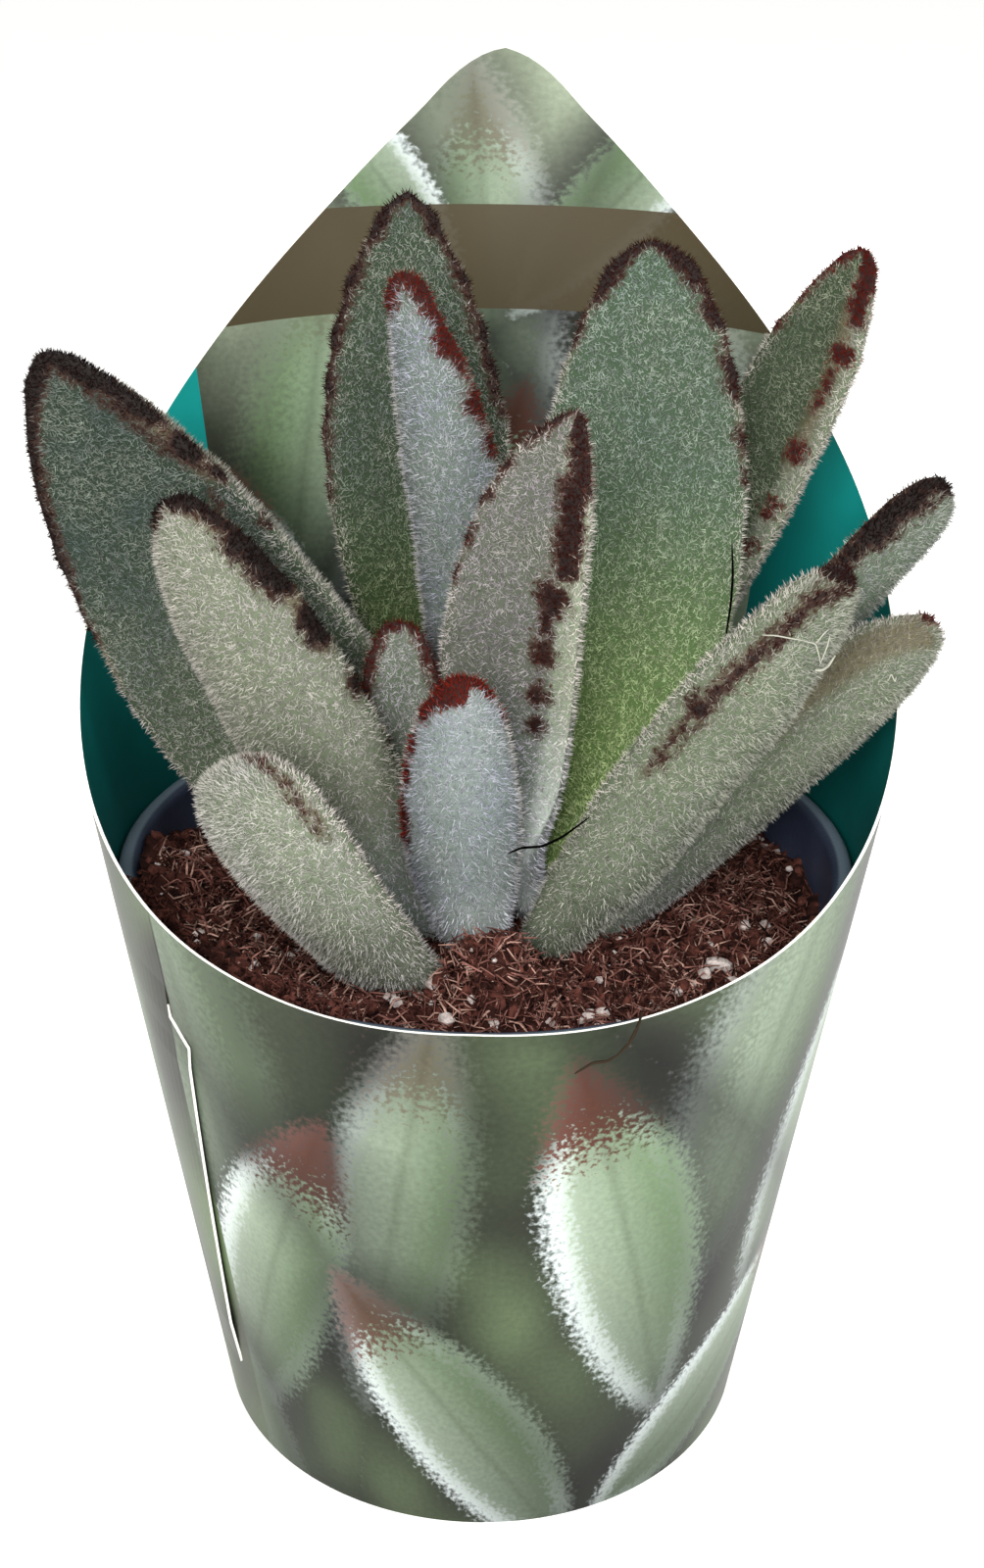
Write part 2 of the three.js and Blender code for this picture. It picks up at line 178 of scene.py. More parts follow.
def store(mesh, name, values, kind="FLOAT"):
    """Keeps one value for each vertex under a name that materials and trees can read."""
    attribute = mesh.attributes.new(name, kind, "POINT")
    field = "vector" if kind == "FLOAT_VECTOR" else "value"
    attribute.data.foreach_set(field, np.asarray(values, np.float32).ravel())


def tube(rings, first, last):
    """The points and faces of a skin over rings of points, closed to a point at each end."""
    count, sides = rings.shape[:2]
    end = count * sides
    top = end - sides
    faces = []
    for i in range(count - 1):
        for j in range(sides):
            n = (j + 1) % sides
            a, b = i * sides, (i + 1) * sides
            faces.append((a + j, a + n, b + n, b + j))
    for j in range(sides):
        n = (j + 1) % sides
        faces += [(end, n, j), (end + 1, top + j, top + n)]
    return np.vstack([rings.reshape(-1, 3), first, last]), faces


def outline(piece):
    """An object's points, in the unit that mesh_object takes."""
    return np.array([vertex.co for vertex in piece.data.vertices]) / MM


def taken_apart(piece):
    """The points and faces of an object, which is removed."""
    points, faces = outline(piece), [list(face.vertices) for face in piece.data.polygons]
    bpy.data.objects.remove(piece)
    return points, faces


def joined(parts):
    """The points and faces of many skins as those of one."""
    points, faces, first = [], [], 0
    for shape, skin in parts:
        points.append(shape)
        faces += [[first + i for i in face] for face in skin]
        first += len(shape)
    return np.vstack(points), faces


def finish_piece(piece, slot, *nodes):
    """Gives a finished piece its body and hides the CAD nodes that it stands for. slot is not used."""
    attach(piece, BODY)
    if nodes:
        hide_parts(*nodes)


def new_material(name, **constants):
    """A material with one Principled BSDF. constants are values for its sockets."""
    material = bpy.data.materials.new(name)
    material.use_nodes = True
    surface = material.node_tree.nodes["Principled BSDF"]
    for socket, value in constants.items():
        surface.inputs[socket.replace("_", " ")].default_value = value
    return material, material.node_tree, surface


def dress(tree, surface, colour, relief=None, depth=0.0, strength=1.0):
    """Gives a surface its colour and, if relief is given, bumps that are depth metres high."""
    plug(tree, colour, surface.inputs["Base Color"])
    if relief:
        bumps = {"Height": relief, "Distance": depth, "Strength": strength}
        plug(tree, add(tree, "ShaderNodeBump", bumps), surface.inputs["Normal"])


def sockets_for(tree, inputs, outputs):
    """Gives a tree its named inputs and outputs, and returns what comes in."""
    for way, sockets in (("INPUT", inputs), ("OUTPUT", outputs)):
        for label, kind in sockets.items():
            tree.interface.new_socket(label, in_out=way, socket_type="NodeSocket" + kind)
    return add(tree, "NodeGroupInput").outputs


def new_tree(name, inputs):
    """A Geometry Nodes tree with a geometry input and output and the named inputs."""
    tree = bpy.data.node_groups.new(name, "GeometryNodeTree")
    mesh = {"Geometry": "Geometry"}
    return tree, sockets_for(tree, mesh | inputs, mesh)


def end_tree(tree, geometry, material):
    """Ends a tree with real geometry in one material, and returns the tree."""
    real = add(tree, "GeometryNodeRealizeInstances", {"Geometry": geometry})
    done = add(tree, "GeometryNodeSetMaterial", {"Geometry": real, "Material": material})
    add(tree, "NodeGroupOutput", {"Geometry": done})
    return tree


def run_tree(owner, tree, name, values):
    """Runs a tree on owner's mesh and returns the result as a new plain mesh object."""
    modifier = owner.modifiers.new(tree.name, "NODES")
    modifier.node_group = tree
    for item in tree.interface.items_tree:
        if item.item_type == "SOCKET" and item.name in values:
            modifier[item.identifier] = values[item.name]
    evaluated = owner.evaluated_get(bpy.context.evaluated_depsgraph_get())
    mesh = bpy.data.meshes.new_from_object(evaluated)
    owner.modifiers.remove(modifier)
    mesh.name = name
    made = bpy.data.objects.new(name, mesh)
    bpy.context.scene.collection.objects.link(made)
    return made


def colour_choice(name, description, code):
    return FloatVectorProperty(
        name=name, description=description, subtype="COLOR", default=shade(code), min=0, max=1
    )


def length_choice(name, description, millimetres, most):
    return FloatProperty(
        name=name, description=description, default=millimetres * MM, min=0, max=most * MM,
        unit="LENGTH",
    )


def share_choice(name, description, default):
    return FloatProperty(
        name=name, description=description, default=default, min=0, max=1, subtype="FACTOR"
    )


def amount_choice(name, description, default, most, subtype="NONE"):
    return FloatProperty(
        name=name, description=description, default=default, min=0, max=most, subtype=subtype
    )


def seed_choice(default):
    return IntProperty(name="Seed", description="Start of the random numbers", default=default, min=0)


# ---- Leaves -------------------------------------------------------------------------------
SEAT_GAP = 0.3
CROWN = np.array([0.5, -8.0])
STEM_LEAN = np.array([1.0, 2.5])
STEM_RADIUS = 3.4
STEM_TOP_RADIUS = 2.4
STEM_TOP = 81.0
SOIL_LEVEL = 70.5
NECK_THICK = 3.4
NECK_SHARE = 0.28
NECK_CLEARANCE = 0.4
BELLY = 0.8
THIN_FROM = 0.45
THIN_CURVE = 2.6
BLUNT_TIP = (2.3, 0.5)
SHARP_TIP = (1.7, 0.7)

LEFT, RIGHT = 1, -1  # a blade's margins, seen with its upper face towards the viewer

# Colours that leaf felt has over its skin, and short names for them.
FELT_TINTS = dict(
    slate="566160", moss="68705f", sage="747c76", jade="808e85", fern="869784", smoke="868a86",
    heather="90898d", stone="929389", mist="949a9a", frost="9a9ca8", ash="a2a29a", sand="a6a29c",
    pearl="a6a3a6", silver="aeaba7", celery="b4bca5", cloud="bcbab6", snow="eeeefa", mauve="8c6c88",
    leaf="768b3a", spring="bcd190", lime="ccf070",
)

# One entry for each leaf, with the same sizes as its CAD node. marks are the brown places on
# its margins: (margin, from, to, reach, inset). from and to are shares of the leaf's length,
# reach is how far the brown goes to each side, and inset moves it onto the upper face, or with
# a minus onto the under face, all in mm. stains are soft ochre patches, told the same way. rust
# is 0 for maroon marks and 1 for orange ones. upper, under and foot are the felt's colours on
# the two faces and by the stem, up to the share of the length `reach`. roll says how far the
# under face's colour comes over one margin, in mm. woolly is 1 for a leaf whose felt is so thick
# that no skin shows.
# The foot colours are partly the felt's own colour and partly painted light: the pale ones lift leaf bases
# that other leaves shade.
LEAVES = {
    "leaf_left_tall": dict(
        height=68, heading=152, facing=-104, middle=(-31, -2.2, 106.2), tip=(-49.7, -1.5, 138.2),
        width=30.6, thick=8.5, base=3.8, widest=0.38, cup=2, point=0.9, woolly=0.25,
        rust=0, upper="slate", under="stone", foot="ash", reach=0.6,
        marks=[(LEFT, 0.93, 1, 3.8, 0), (LEFT, 0.8, 0.95, 2.3, 0), (LEFT, 0.67, 0.81, 1.9, 0),
               (LEFT, 0.57, 0.67, 1.1, 0), (RIGHT, 0.9, 1, 3.1, 0), (RIGHT, 0.82, 0.93, 2, 0.3),
               (RIGHT, 0.735, 0.79, 2.1, 0.5), (RIGHT, 0.76, 0.9, 0.6, 2.6), (RIGHT, 0.69, 0.72, 1.1, 0),
               (RIGHT, 0.65, 0.69, 0.6, 2.6), (RIGHT, 0.6, 0.62, 0.9, 0)],
        stains=[(LEFT, 0.5, 0.6, 1.2, 0), (RIGHT, 0.7, 0.86, 1.6, 1)],
    ),
    "leaf_left_front": dict(
        height=65.5, heading=202, facing=72, middle=(-21.1, -16.5, 101.2), tip=(-33.8, -18, 127),
        width=16.8, thick=6.5, base=5, widest=0.52, cup=1, point=0.5,
        rust=0, upper="fern", under="sand", foot="snow", reach=0.3,
        marks=[(LEFT, 0.955, 1, 3, 0), (RIGHT, 0.955, 1, 2.8, 0), (LEFT, 0.85, 0.98, 1.5, -0.6),
               (LEFT, 0.73, 0.88, 2.3, -0.9), (LEFT, 0.62, 0.69, 2.5, -0.4), (LEFT, 0.51, 0.545, 2, 0),
               (LEFT, 0.415, 0.425, 1, 0)],
        stains=[(LEFT, 0.6, 1, 2, -0.8), (RIGHT, 0.9, 1, 1.6, 0)],
    ),
    "leaf_left_low": dict(
        height=60.5, heading=230, facing=48, middle=(-19, -27.6, 87.9), tip=(-25.3, -30, 102.5),
        width=21, thick=7.5, base=6, widest=0.58, cup=0.5, point=0,
        rust=0.1, upper="silver", under="silver", foot="cloud", reach=0.3,
        marks=[(LEFT, 0.955, 0.99, 0.6, -1.3), (LEFT, 0.86, 0.95, 0.35, -1.7),
               (LEFT, 0.74, 0.86, 0.4, -1.9), (LEFT, 0.7, 0.74, 0.3, -1.9)],
        stains=[(LEFT, 0.72, 1, 1, -1.7)],
    ),
    "leaf_young_back": dict(
        height=73, heading=210, facing=-88, middle=(-9, -12.5, 97.5), tip=(-9.5, -10.5, 110.3),
        width=9, thick=3.5, base=3.5, widest=0.55, cup=0.8, point=0.6, woolly=0.5,
        rust=0.35, upper="pearl", under="celery", foot="lime", reach=0.4,
        marks=[(LEFT, 0.52, 1, 1.3, 0), (RIGHT, 0.5, 1, 1.3, 0), (LEFT, 0.93, 1, 2.3, 0),
               (RIGHT, 0.93, 1, 2, 0)],
        stains=[],
    ),
    "leaf_young_front": dict(
        height=67, heading=262, facing=90, middle=(-2.9, -20.5, 91.4), tip=(-2, -22, 108.6),
        width=13, thick=6, base=4, widest=0.45, cup=0.5, point=0.3, woolly=1,
        rust=0.8, upper="mist", under="frost", foot="snow", reach=0.3,
        marks=[(LEFT, 0.95, 1, 2.2, 0), (RIGHT, 0.93, 1, 3.6, -1.6), (LEFT, 0.83, 0.89, 0.9, 0),
               (RIGHT, 0.83, 0.94, 1.5, -0.9), (RIGHT, 0.725, 0.77, 1.2, -0.9),
               (RIGHT, 0.62, 0.68, 1.4, -0.9), (RIGHT, 0.44, 0.56, 1.7, -0.9)],
        stains=[],
    ),
    "leaf_back_left": dict(
        height=74, heading=94, facing=-88, middle=(-7.7, 10, 114.7), tip=(-9.8, 16, 153),
        width=21.5, thick=5, base=5, widest=0.6, cup=1.5, point=1,
        rust=0.05, upper="sage", under="ash", foot="leaf", reach=0.55,
        marks=[(LEFT, 0.8, 1, 1.1, 0), (LEFT, 0.6, 0.8, 0.8, 0), (RIGHT, 0.66, 1, 1, 0),
               (LEFT, 0.93, 1, 1.9, 0), (RIGHT, 0.93, 1, 1.9, 0), (LEFT, 0.85, 0.89, 1.9, 0),
               (LEFT, 0.785, 0.805, 1.9, 0), (LEFT, 0.7, 0.74, 1.6, 0), (LEFT, 0.64, 0.66, 1.3, 0),
               (LEFT, 0.56, 0.58, 1.1, 0), (RIGHT, 0.85, 0.89, 1.7, 0), (RIGHT, 0.78, 0.81, 1.8, 0),
               (RIGHT, 0.71, 0.75, 1.6, 0)],
        stains=[],
    ),
    "leaf_back_narrow": dict(
        height=77.5, heading=182, facing=82, middle=(-2.9, -1.5, 112.4), tip=(-10.3, 3.5, 146.4),
        width=10.8, thick=4.5, base=4, widest=0.6, cup=1, point=0.5,
        rust=0.55, upper="fern", under="frost", foot="mauve", reach=0.4,
        marks=[(LEFT, 0.945, 1, 2.6, 0), (RIGHT, 0.95, 1, 2.4, 0), (LEFT, 0.83, 0.95, 1.3, -0.8),
               (LEFT, 0.86, 0.89, 2, -0.9), (LEFT, 0.76, 0.79, 2.1, -0.5), (LEFT, 0.7, 0.72, 1.7, -0.3)],
        stains=[(LEFT, 0.7, 0.96, 1.6, -0.5)],
    ),
    "leaf_centre": dict(
        height=74, heading=-34, facing=-112, middle=(2.8, -13.5, 107.6), tip=(9.4, -12.5, 135.2),
        width=16, thick=6, base=4, widest=0.5, cup=1.5, point=0.8, woolly=0.75,
        rust=0.12, upper="heather", under="ash", foot="snow", reach=0.4,
        marks=[(LEFT, 0.9, 1, 1.2, 0), (LEFT, 0.83, 0.87, 1, 0), (LEFT, 0.77, 0.8, 1.3, 0),
               (LEFT, 0.69, 0.73, 1, 0), (LEFT, 0.62, 0.65, 0.9, 0), (RIGHT, 0.86, 1, 1.7, 1),
               (RIGHT, 0.69, 0.87, 1.8, 2.3), (RIGHT, 0.62, 0.66, 2.2, 3.5), (RIGHT, 0.56, 0.61, 1.1, 3.8),
               (RIGHT, 0.51, 0.545, 1.8, 4), (RIGHT, 0.435, 0.46, 1.6, 4), (RIGHT, 0.37, 0.395, 1.4, 4)],
        stains=[], roll=(RIGHT, 3),
    ),
    "leaf_back_right": dict(
        height=76.5, heading=8, facing=-95, middle=(16.2, 4, 110), tip=(18, 9, 149),
        width=26, thick=6, base=5, widest=0.47, cup=1, point=0.2, woolly=0.3,
        rust=0.08, upper="jade", under="silver", foot="spring", reach=0.6,
        marks=[(LEFT, 0.93, 1, 2.3, 0), (RIGHT, 0.94, 1, 2.7, 0), (RIGHT, 0.86, 0.95, 0.8, 0),
               (LEFT, 0.85, 0.92, 0.7, 0), (RIGHT, 0.885, 0.92, 2, 0.3), (RIGHT, 0.795, 0.85, 1.8, 0),
               (RIGHT, 0.725, 0.745, 1.4, 0), (RIGHT, 0.675, 0.69, 1, 0)],
        stains=[(RIGHT, 0.7, 1, 0.8, 0), (LEFT, 0.8, 1, 0.8, 0)],
    ),
    "leaf_right_tall": dict(
        height=71, heading=54, facing=-125, middle=(29.3, 15, 114.2), tip=(44.2, 20, 146.2),
        width=13.2, thick=6, base=4.5, widest=0.6, cup=1.5, point=0.5, woolly=0.3,
        rust=0.5, upper="moss", under="stone", foot="cloud", reach=0.4,
        marks=[(LEFT, 0.95, 1, 1.6, 0), (LEFT, 0.86, 0.95, 0.8, 0), (LEFT, 0.79, 0.82, 1, 0),
               (RIGHT, 0.93, 1, 1.9, 0.8), (RIGHT, 0.86, 0.93, 1.4, 1.6), (RIGHT, 0.795, 0.815, 1.9, 2.3),
               (RIGHT, 0.7, 0.77, 0.7, 2.7), (RIGHT, 0.625, 0.64, 1.7, 2.4), (RIGHT, 0.535, 0.55, 1.5, 2.2),
               (RIGHT, 0.475, 0.485, 1.3, 2.2)],
        stains=[(RIGHT, 0.6, 0.9, 1.5, 2.6), (LEFT, 0.82, 1, 1.2, 0)], roll=(RIGHT, 3),
    ),
    "leaf_right_upper": dict(
        height=68, heading=12, facing=130, middle=(39.8, -1, 109.2), tip=(52.3, 2, 122.5),
        width=9, thick=5, base=4.5, widest=0.6, cup=1, point=0.6,
        rust=0, upper="fern", under="smoke", foot="mauve", reach=0.4,
        marks=[(RIGHT, 0.92, 1, 3, -0.3), (LEFT, 0.94, 1, 2.4, 0), (RIGHT, 0.78, 0.97, 1.6, -1.2),
               (RIGHT, 0.62, 0.83, 1.9, -1.4), (RIGHT, 0.47, 0.64, 1.3, -1.2)],
        stains=[(RIGHT, 0.5, 1, 1.5, -1.2)],
    ),
    "leaf_right_front": dict(
        height=64, heading=-55, facing=125, middle=(22.4, -22.4, 99.9), tip=(38.5, -19, 119.6),
        width=15, thick=6.5, base=5.2, widest=0.45, cup=1, point=0.3,
        rust=0.05, upper="ash", under="stone", foot="ash", reach=0.45,
        marks=[(RIGHT, 0.945, 1, 2.7, -1.3), (LEFT, 0.97, 1, 1.3, 0), (RIGHT, 0.86, 0.95, 1, -2.9),
               (RIGHT, 0.63, 0.86, 0.85, -3.2), (RIGHT, 0.585, 0.615, 1.5, -2.9),
               (RIGHT, 0.47, 0.58, 0.6, -2.9)],
        stains=[(RIGHT, 0.45, 1, 0.7, -2.6), (LEFT, 0.24, 0.34, 1.5, -2.5)],
    ),
    "leaf_right_low": dict(
        height=61, heading=-4, facing=120, middle=(33.6, -7.5, 93.4), tip=(51.4, -6.5, 108.9),
        width=13.5, thick=6, base=4.5, widest=0.55, cup=1, point=0.3,
        rust=0.3, upper="ash", under="stone", foot="pearl", reach=0.4,
        marks=[(RIGHT, 0.965, 1, 1.3, 0), (LEFT, 0.98, 1, 1, 0)],
        stains=[(RIGHT, 0.5, 0.96, 2.2, -2.6), (RIGHT, 0.9, 1, 1.2, -1)],
    ),
    "leaf_rear_right": dict(
        height=65, heading=72, facing=-98, middle=(11, 20, 99), tip=(13, 32, 122),
        width=18, thick=5, base=5, widest=0.6, cup=1.5, point=0.7,
        rust=0.2, upper="fern", under="silver", foot="leaf", reach=0.5,
        marks=[(LEFT, 0.78, 1, 0.9, 0), (RIGHT, 0.78, 1, 0.9, 0), (LEFT, 0.66, 0.69, 1.1, 0)],
        stains=[],
    ),
    "leaf_rear_left": dict(
        height=62, heading=128, facing=-75, middle=(-8.5, 16, 94), tip=(-7, 29, 112),
        width=17, thick=5, base=5, widest=0.6, cup=1.5, point=0.7,
        rust=0.2, upper="fern", under="silver", foot="leaf", reach=0.5,
        marks=[(LEFT, 0.78, 1, 0.9, 0), (RIGHT, 0.78, 1, 0.9, 0), (RIGHT, 0.64, 0.68, 1.1, 0)],
        stains=[],
    ),
}

LEAF_RINGS = 60
LEAF_SIDES = 48
TOOTH_HEIGHT = 0.6  # mm that a margin stands out at a mark
TOOTH_SPAN = 1.6  # mm along the margin to each side of a tooth
TOOTH_LONGEST = 0.08  # a mark longer than this share of the leaf is a band and has no tooth
SWELL_CELL = 7.0  # mm between the soft swellings of a blade
SWELL_HEIGHT = 0.28
MARGIN_WAVE = (4.5, 0.22)  # mm between the uneven places of a margin, and their depth
WAVE_FROM = (0.3, 0.3)  # shares of the length: where a margin gets uneven, and over what stretch
MARK_END = 0.6  # share of its reach by which a mark's round ends are drawn in
MARK_LIMIT = 3.0  # mm at which the mark field is cut off, inside and outside
STAIN_SOFT = 1.5  # mm over which a stain fades out
RIM_WIDTH = 1.1  # mm to each side of a margin where the hair stands free
RIM_FROM = (0.1, 0.3)  # shares of the length: where the free hair starts, and over what stretch
FACE_SOFT = 1.6  # how sharply one face's colour turns to the other's at the margin
ROLL_SOFT = 1.2  # mm over which a rolled margin's colour ends


def stem_share(z):
    return np.clip((z - SOIL_LEVEL) / (STEM_TOP - SOIL_LEVEL), 0, 1)


def leaf_spine(leaf):
    """The foot, the control point and the tip of the leaf's spine."""
    middle, tip = np.array(leaf["middle"], float), np.array(leaf["tip"], float)
    share = stem_share(leaf["height"])
    radius = lerp(STEM_RADIUS, STEM_TOP_RADIUS, share)
    out = compass(leaf["heading"])[0]
    centre = np.array([*(CROWN + STEM_LEAN * share), leaf["height"]])
    seat = centre + out * (radius + SEAT_GAP)
    rise = unit(middle - seat)[2]
    foot = seat + out * (NECK_THICK / 2 * rise + NECK_CLEARANCE)
    return foot, 2 * middle - (foot + tip) / 2, tip


def half_width(leaf, s):
    """Half the blade's width at s, from 0 at the neck to 1 at the tip."""
    widest, full = leaf["widest"], leaf["width"] / 2
    swell = lerp(leaf["base"] / 2, full, np.sin(np.pi / 2 * np.clip(s / widest, 0, 1)))
    u = np.clip((s - widest) / (1 - widest), 0, 1)
    blunt = (1 - u ** BLUNT_TIP[0]) ** BLUNT_TIP[1]
    sharp = (1 - u ** SHARP_TIP[0]) ** SHARP_TIP[1]
    return np.where(s < widest, swell, full * lerp(blunt, sharp, leaf["point"]))


def thickness(leaf, s):
    body = lerp(NECK_THICK, leaf["thick"], smooth(s / NECK_SHARE))
    u = np.clip((s - THIN_FROM) / (1 - THIN_FROM), 0, 1)
    return body * np.sqrt(1 - u**THIN_CURVE)


def spread(places, s, x, from_margin, length):
    """How far inside one of the places on a leaf's margins each point is, in mm."""
    field = np.full(s.shape, -MARK_LIMIT)
    for margin, start, end, reach, inset in places:
        middle, drawn = (start + end) / 2, MARK_END * reach / length
        start = min(start + drawn, middle)
        end = max(end - drawn, middle) if end < 1 else 1
        past = np.maximum(np.maximum(start - s, s - end), 0) * length
        inside = reach - np.hypot(from_margin - inset, past)
        field = np.maximum(field, np.where(x * margin >= 0, inside, -MARK_LIMIT))
    return np.minimum(field, MARK_LIMIT)


def felt_tints(leaf, s, x, y, from_margin):
    """The felt's colour at each point, and how bare it is there: -1 for woolly, 1 for thin felt."""
    upper = smooth(y * FACE_SOFT + 0.5)
    margin, over = leaf.get("roll", (LEFT, 0))
    if over:
        upper = upper * np.where(x * margin > 0, smooth((from_margin - over) / ROLL_SOFT + 0.5), 1)
    tints = [np.array(shade(FELT_TINTS[leaf[name]])) for name in ("under", "upper", "foot")]
    face = lerp(tints[0], tints[1], upper[..., None])
    # Partly painted light: pale foot colours lift leaf bases that lie in shade.
    face = lerp(tints[2], face, smooth(s / leaf["reach"] - 0.25)[..., None])
    return face, upper - leaf.get("woolly", 0)


def leaf_object(name, leaf, seed, material):
    """The leaf's skin, with what its materials and its felt need to know at each vertex."""
    foot, control, tip = leaf_spine(leaf)
    t = np.arange(LEAF_RINGS) / LEAF_RINGS
    s = 1 - (1 - t) ** 2
    spine = np.outer((1 - s) ** 2, foot) + np.outer(2 * s * (1 - s), control) + np.outer(s**2, tip)
    along = unit(np.outer(1 - s, control - foot) + np.outer(s, tip - control))
    length = np.linalg.norm(np.diff(spine, axis=0), axis=1).sum()

    inward = leaf["heading"] + 180
    blade = smooth(s / NECK_SHARE)
    up = compass(inward + wrap(leaf["facing"] - inward) * blade)
    up = unit(up - along * (up * along).sum(1, keepdims=True))
    side = np.cross(up, along)

    half = half_width(leaf, s)
    for _, start, end, _, inset in leaf["marks"]:
        if end - start < TOOTH_LONGEST and inset == 0:
            away = (s - (start + end) / 2) * length / TOOTH_SPAN
            half = half + 0.5 * TOOTH_HEIGHT * np.exp(-(away**2))
    wave = value_noise(np.column_stack([s * length, s * 0 + seed, s * 0]), MARGIN_WAVE[0], seed)
    half = half + wave * MARGIN_WAVE[1] * smooth((s - WAVE_FROM[0]) / WAVE_FROM[1]) * np.sqrt(1 - s**6)
    thick = thickness(leaf, s)
    under = thick * lerp(0.5, BELLY, blade)
    cup = leaf["cup"] * blade * half / (leaf["width"] / 2)

    x, y = circle(LEAF_SIDES).T[:, None]
    depth = np.where(y > 0, (thick - under)[:, None], under[:, None])
    lift = depth * y + cup[:, None] * x**2
    points = spine[:, None] + side[:, None] * (half[:, None] * x)[..., None] + up[:, None] * lift[..., None]
    swell = value_noise(points.reshape(-1, 3), SWELL_CELL, seed).reshape(lift.shape)
    fade = (blade * np.sqrt(1 - s**4))[:, None]
    points += up[:, None] * (swell * fade * SWELL_HEIGHT)[..., None]
    piece = mesh_object(name, *tube(points, foot, tip), [material])

    ones = np.ones_like(lift)
    s, x, y = s[:, None] * ones, x * ones, y * ones
    from_margin = np.hypot(half[:, None] * (1 - np.abs(x)), depth * y) * np.sign(y)
    marks = spread(leaf["marks"], s, x, from_margin, length)
    stains = smooth(spread(leaf["stains"], s, x, from_margin, length) / STAIN_SOFT + 0.1)
    rim = np.exp(-((from_margin / RIM_WIDTH) ** 2)) * smooth((s - RIM_FROM[0]) / RIM_FROM[1])
    tints, bare = felt_tints(leaf, s, x, y, from_margin)
    fields = {"mark": marks, "stain": stains, "rim": rim, "bare": bare, "rust": leaf["rust"] * ones}
    for key, field in fields.items():
        store(piece.data, key, np.append(field.ravel(), [field[0].min(), field[-1].max()]))
    tints = np.vstack([tints.reshape(-1, 3), tints[0, :1], tints[-1, :1]])
    store(piece.data, "tint", tints, "FLOAT_VECTOR")
    growth = np.repeat(along, LEAF_SIDES, axis=0)
    store(piece.data, "growth", np.vstack([growth, along[:1], along[-1:]]), "FLOAT_VECTOR")
    return piece


# ---- Felt ---------------------------------------------------------------------------------
HAIR_SIZES = (0.55, 1.15)  # the shortest and the longest hairs, as shares of the given length


def felt_tree():
    """Grows a coat of short straight hairs on a leaf. Each hair is one thin triangle."""
    tree, given = new_tree(
        "Felt",
        {
            "Density": "Float", "Length": "Float", "Width": "Float", "Lean": "Float",
            "Stray": "Float", "Seed": "Int", "Material": "Material",
        },
    )
    # A circle of radius 1 with three corners is 1.5 long and the root of 3 wide.
    triangle = add(tree, "GeometryNodeMeshCircle", [3, 1.0], fill_type="NGON")
    seated = {"Geometry": triangle, "Translation": (0.5, 0, 0)}
    seated = add(tree, "GeometryNodeTransform", seated)
    long = chain(tree, MATHS, given["Length"], ("DIVIDE", 1.5))
    wide = chain(tree, MATHS, given["Width"], ("DIVIDE", math.sqrt(3)))
    size = add(tree, "ShaderNodeCombineXYZ", [long, wide, 1.0])
    upright = {"Geometry": seated, "Rotation": Euler((0, -math.pi / 2, 0)), "Scale": size}
    hair = add(tree, "GeometryNodeTransform", upright)

    roots = {"Mesh": given["Geometry"], "Density": given["Density"], "Seed": given["Seed"]}
    roots = add(tree, "GeometryNodeDistributePointsOnFaces", roots)
    normal = roots.outputs["Normal"]
    tone = add(tree, RANDOM, {"Min": 0.0, "Max": 1.0, "Seed": 11}, data_type="FLOAT")
    toned = {"Geometry": roots, "Name": "tone", "Value": tone}
    toned = add(tree, "GeometryNodeStoreNamedAttribute", toned, data_type="FLOAT", domain="POINT")
    growth = add(tree, "GeometryNodeInputNamedAttribute", ["growth"], data_type="FLOAT_VECTOR")
    every_way = {"Min": (-1, -1, -1), "Max": (1, 1, 1), "Seed": 12}
    every_way = add(tree, RANDOM, every_way, data_type="FLOAT_VECTOR")
    stray = chain(tree, VECTORS, every_way, ("SCALE", given["Stray"]))
    aim = chain(tree, VECTORS, growth, ("SCALE", given["Lean"]), ("ADD", stray), ("ADD", normal))
    turn = add(tree, "FunctionNodeAlignRotationToVector", {"Vector": aim}, axis="Z")
    turn = {"Rotation": turn, "Vector": normal}
    turn = add(tree, "FunctionNodeAlignRotationToVector", turn, axis="X", pivot_axis="Z")
    sizes = {"Min": HAIR_SIZES[0], "Max": HAIR_SIZES[1], "Seed": 13}
    size = add(tree, RANDOM, sizes, data_type="FLOAT")
    coat = {"Points": toned, "Instance": hair, "Rotation": turn, "Scale": size}
    return end_tree(tree, add(tree, INSTANCES, coat), given["Material"])


# ---- Plant materials ----------------------------------------------------------------------
MARK_CELL = 1.1 * MM  # between the wanderings of a mark's edge
MARK_RAGGED = 0.5  # mm that a mark's edge wanders
FLECK_CELL = 2.2 * MM
TUFT_CELL = 0.75 * MM
PATCH_CELL = 6 * MM
STAIN_STRENGTH = 0.55
FLECK_COLOUR = "93a58a"  # what the skin's flecks are shaded with
PATCH_COLOUR = "a8aa94"  # the duller felt that lies in patches


def marked(tree, ground, dark, rusty, edge, shift=0.0, soft=0.5):
    """The ground with the brown marks on it: rusty at their edge and dark in their middle."""
    mark, rust = (add(tree, FIELD, attribute_name=name).outputs["Fac"] for name in ("mark", "rust"))
    wander = add(tree, RANGE, [lumps(tree, MARK_CELL), 0.3, 0.7, -MARK_RAGGED, MARK_RAGGED])
    field = chain(tree, MATHS, mark, ("ADD", wander), ("ADD", shift))
    deep = chain(tree, MATHS, rust, ("MULTIPLY", 0.9))
    core = add(tree, MIX, [deep, opaque(dark), opaque(rusty)], data_type="RGBA")
    border = add(tree, MIX, [rust, opaque(edge), opaque(rusty)], data_type="RGBA")
    inside = add(tree, RANGE, [field, 0.1, 1.1])
    brown = add(tree, MIX, [inside, border, core], data_type="RGBA")
    cover = add(tree, RANGE, [field, -soft, soft])
    return add(tree, MIX, [cover, ground, brown], data_type="RGBA")


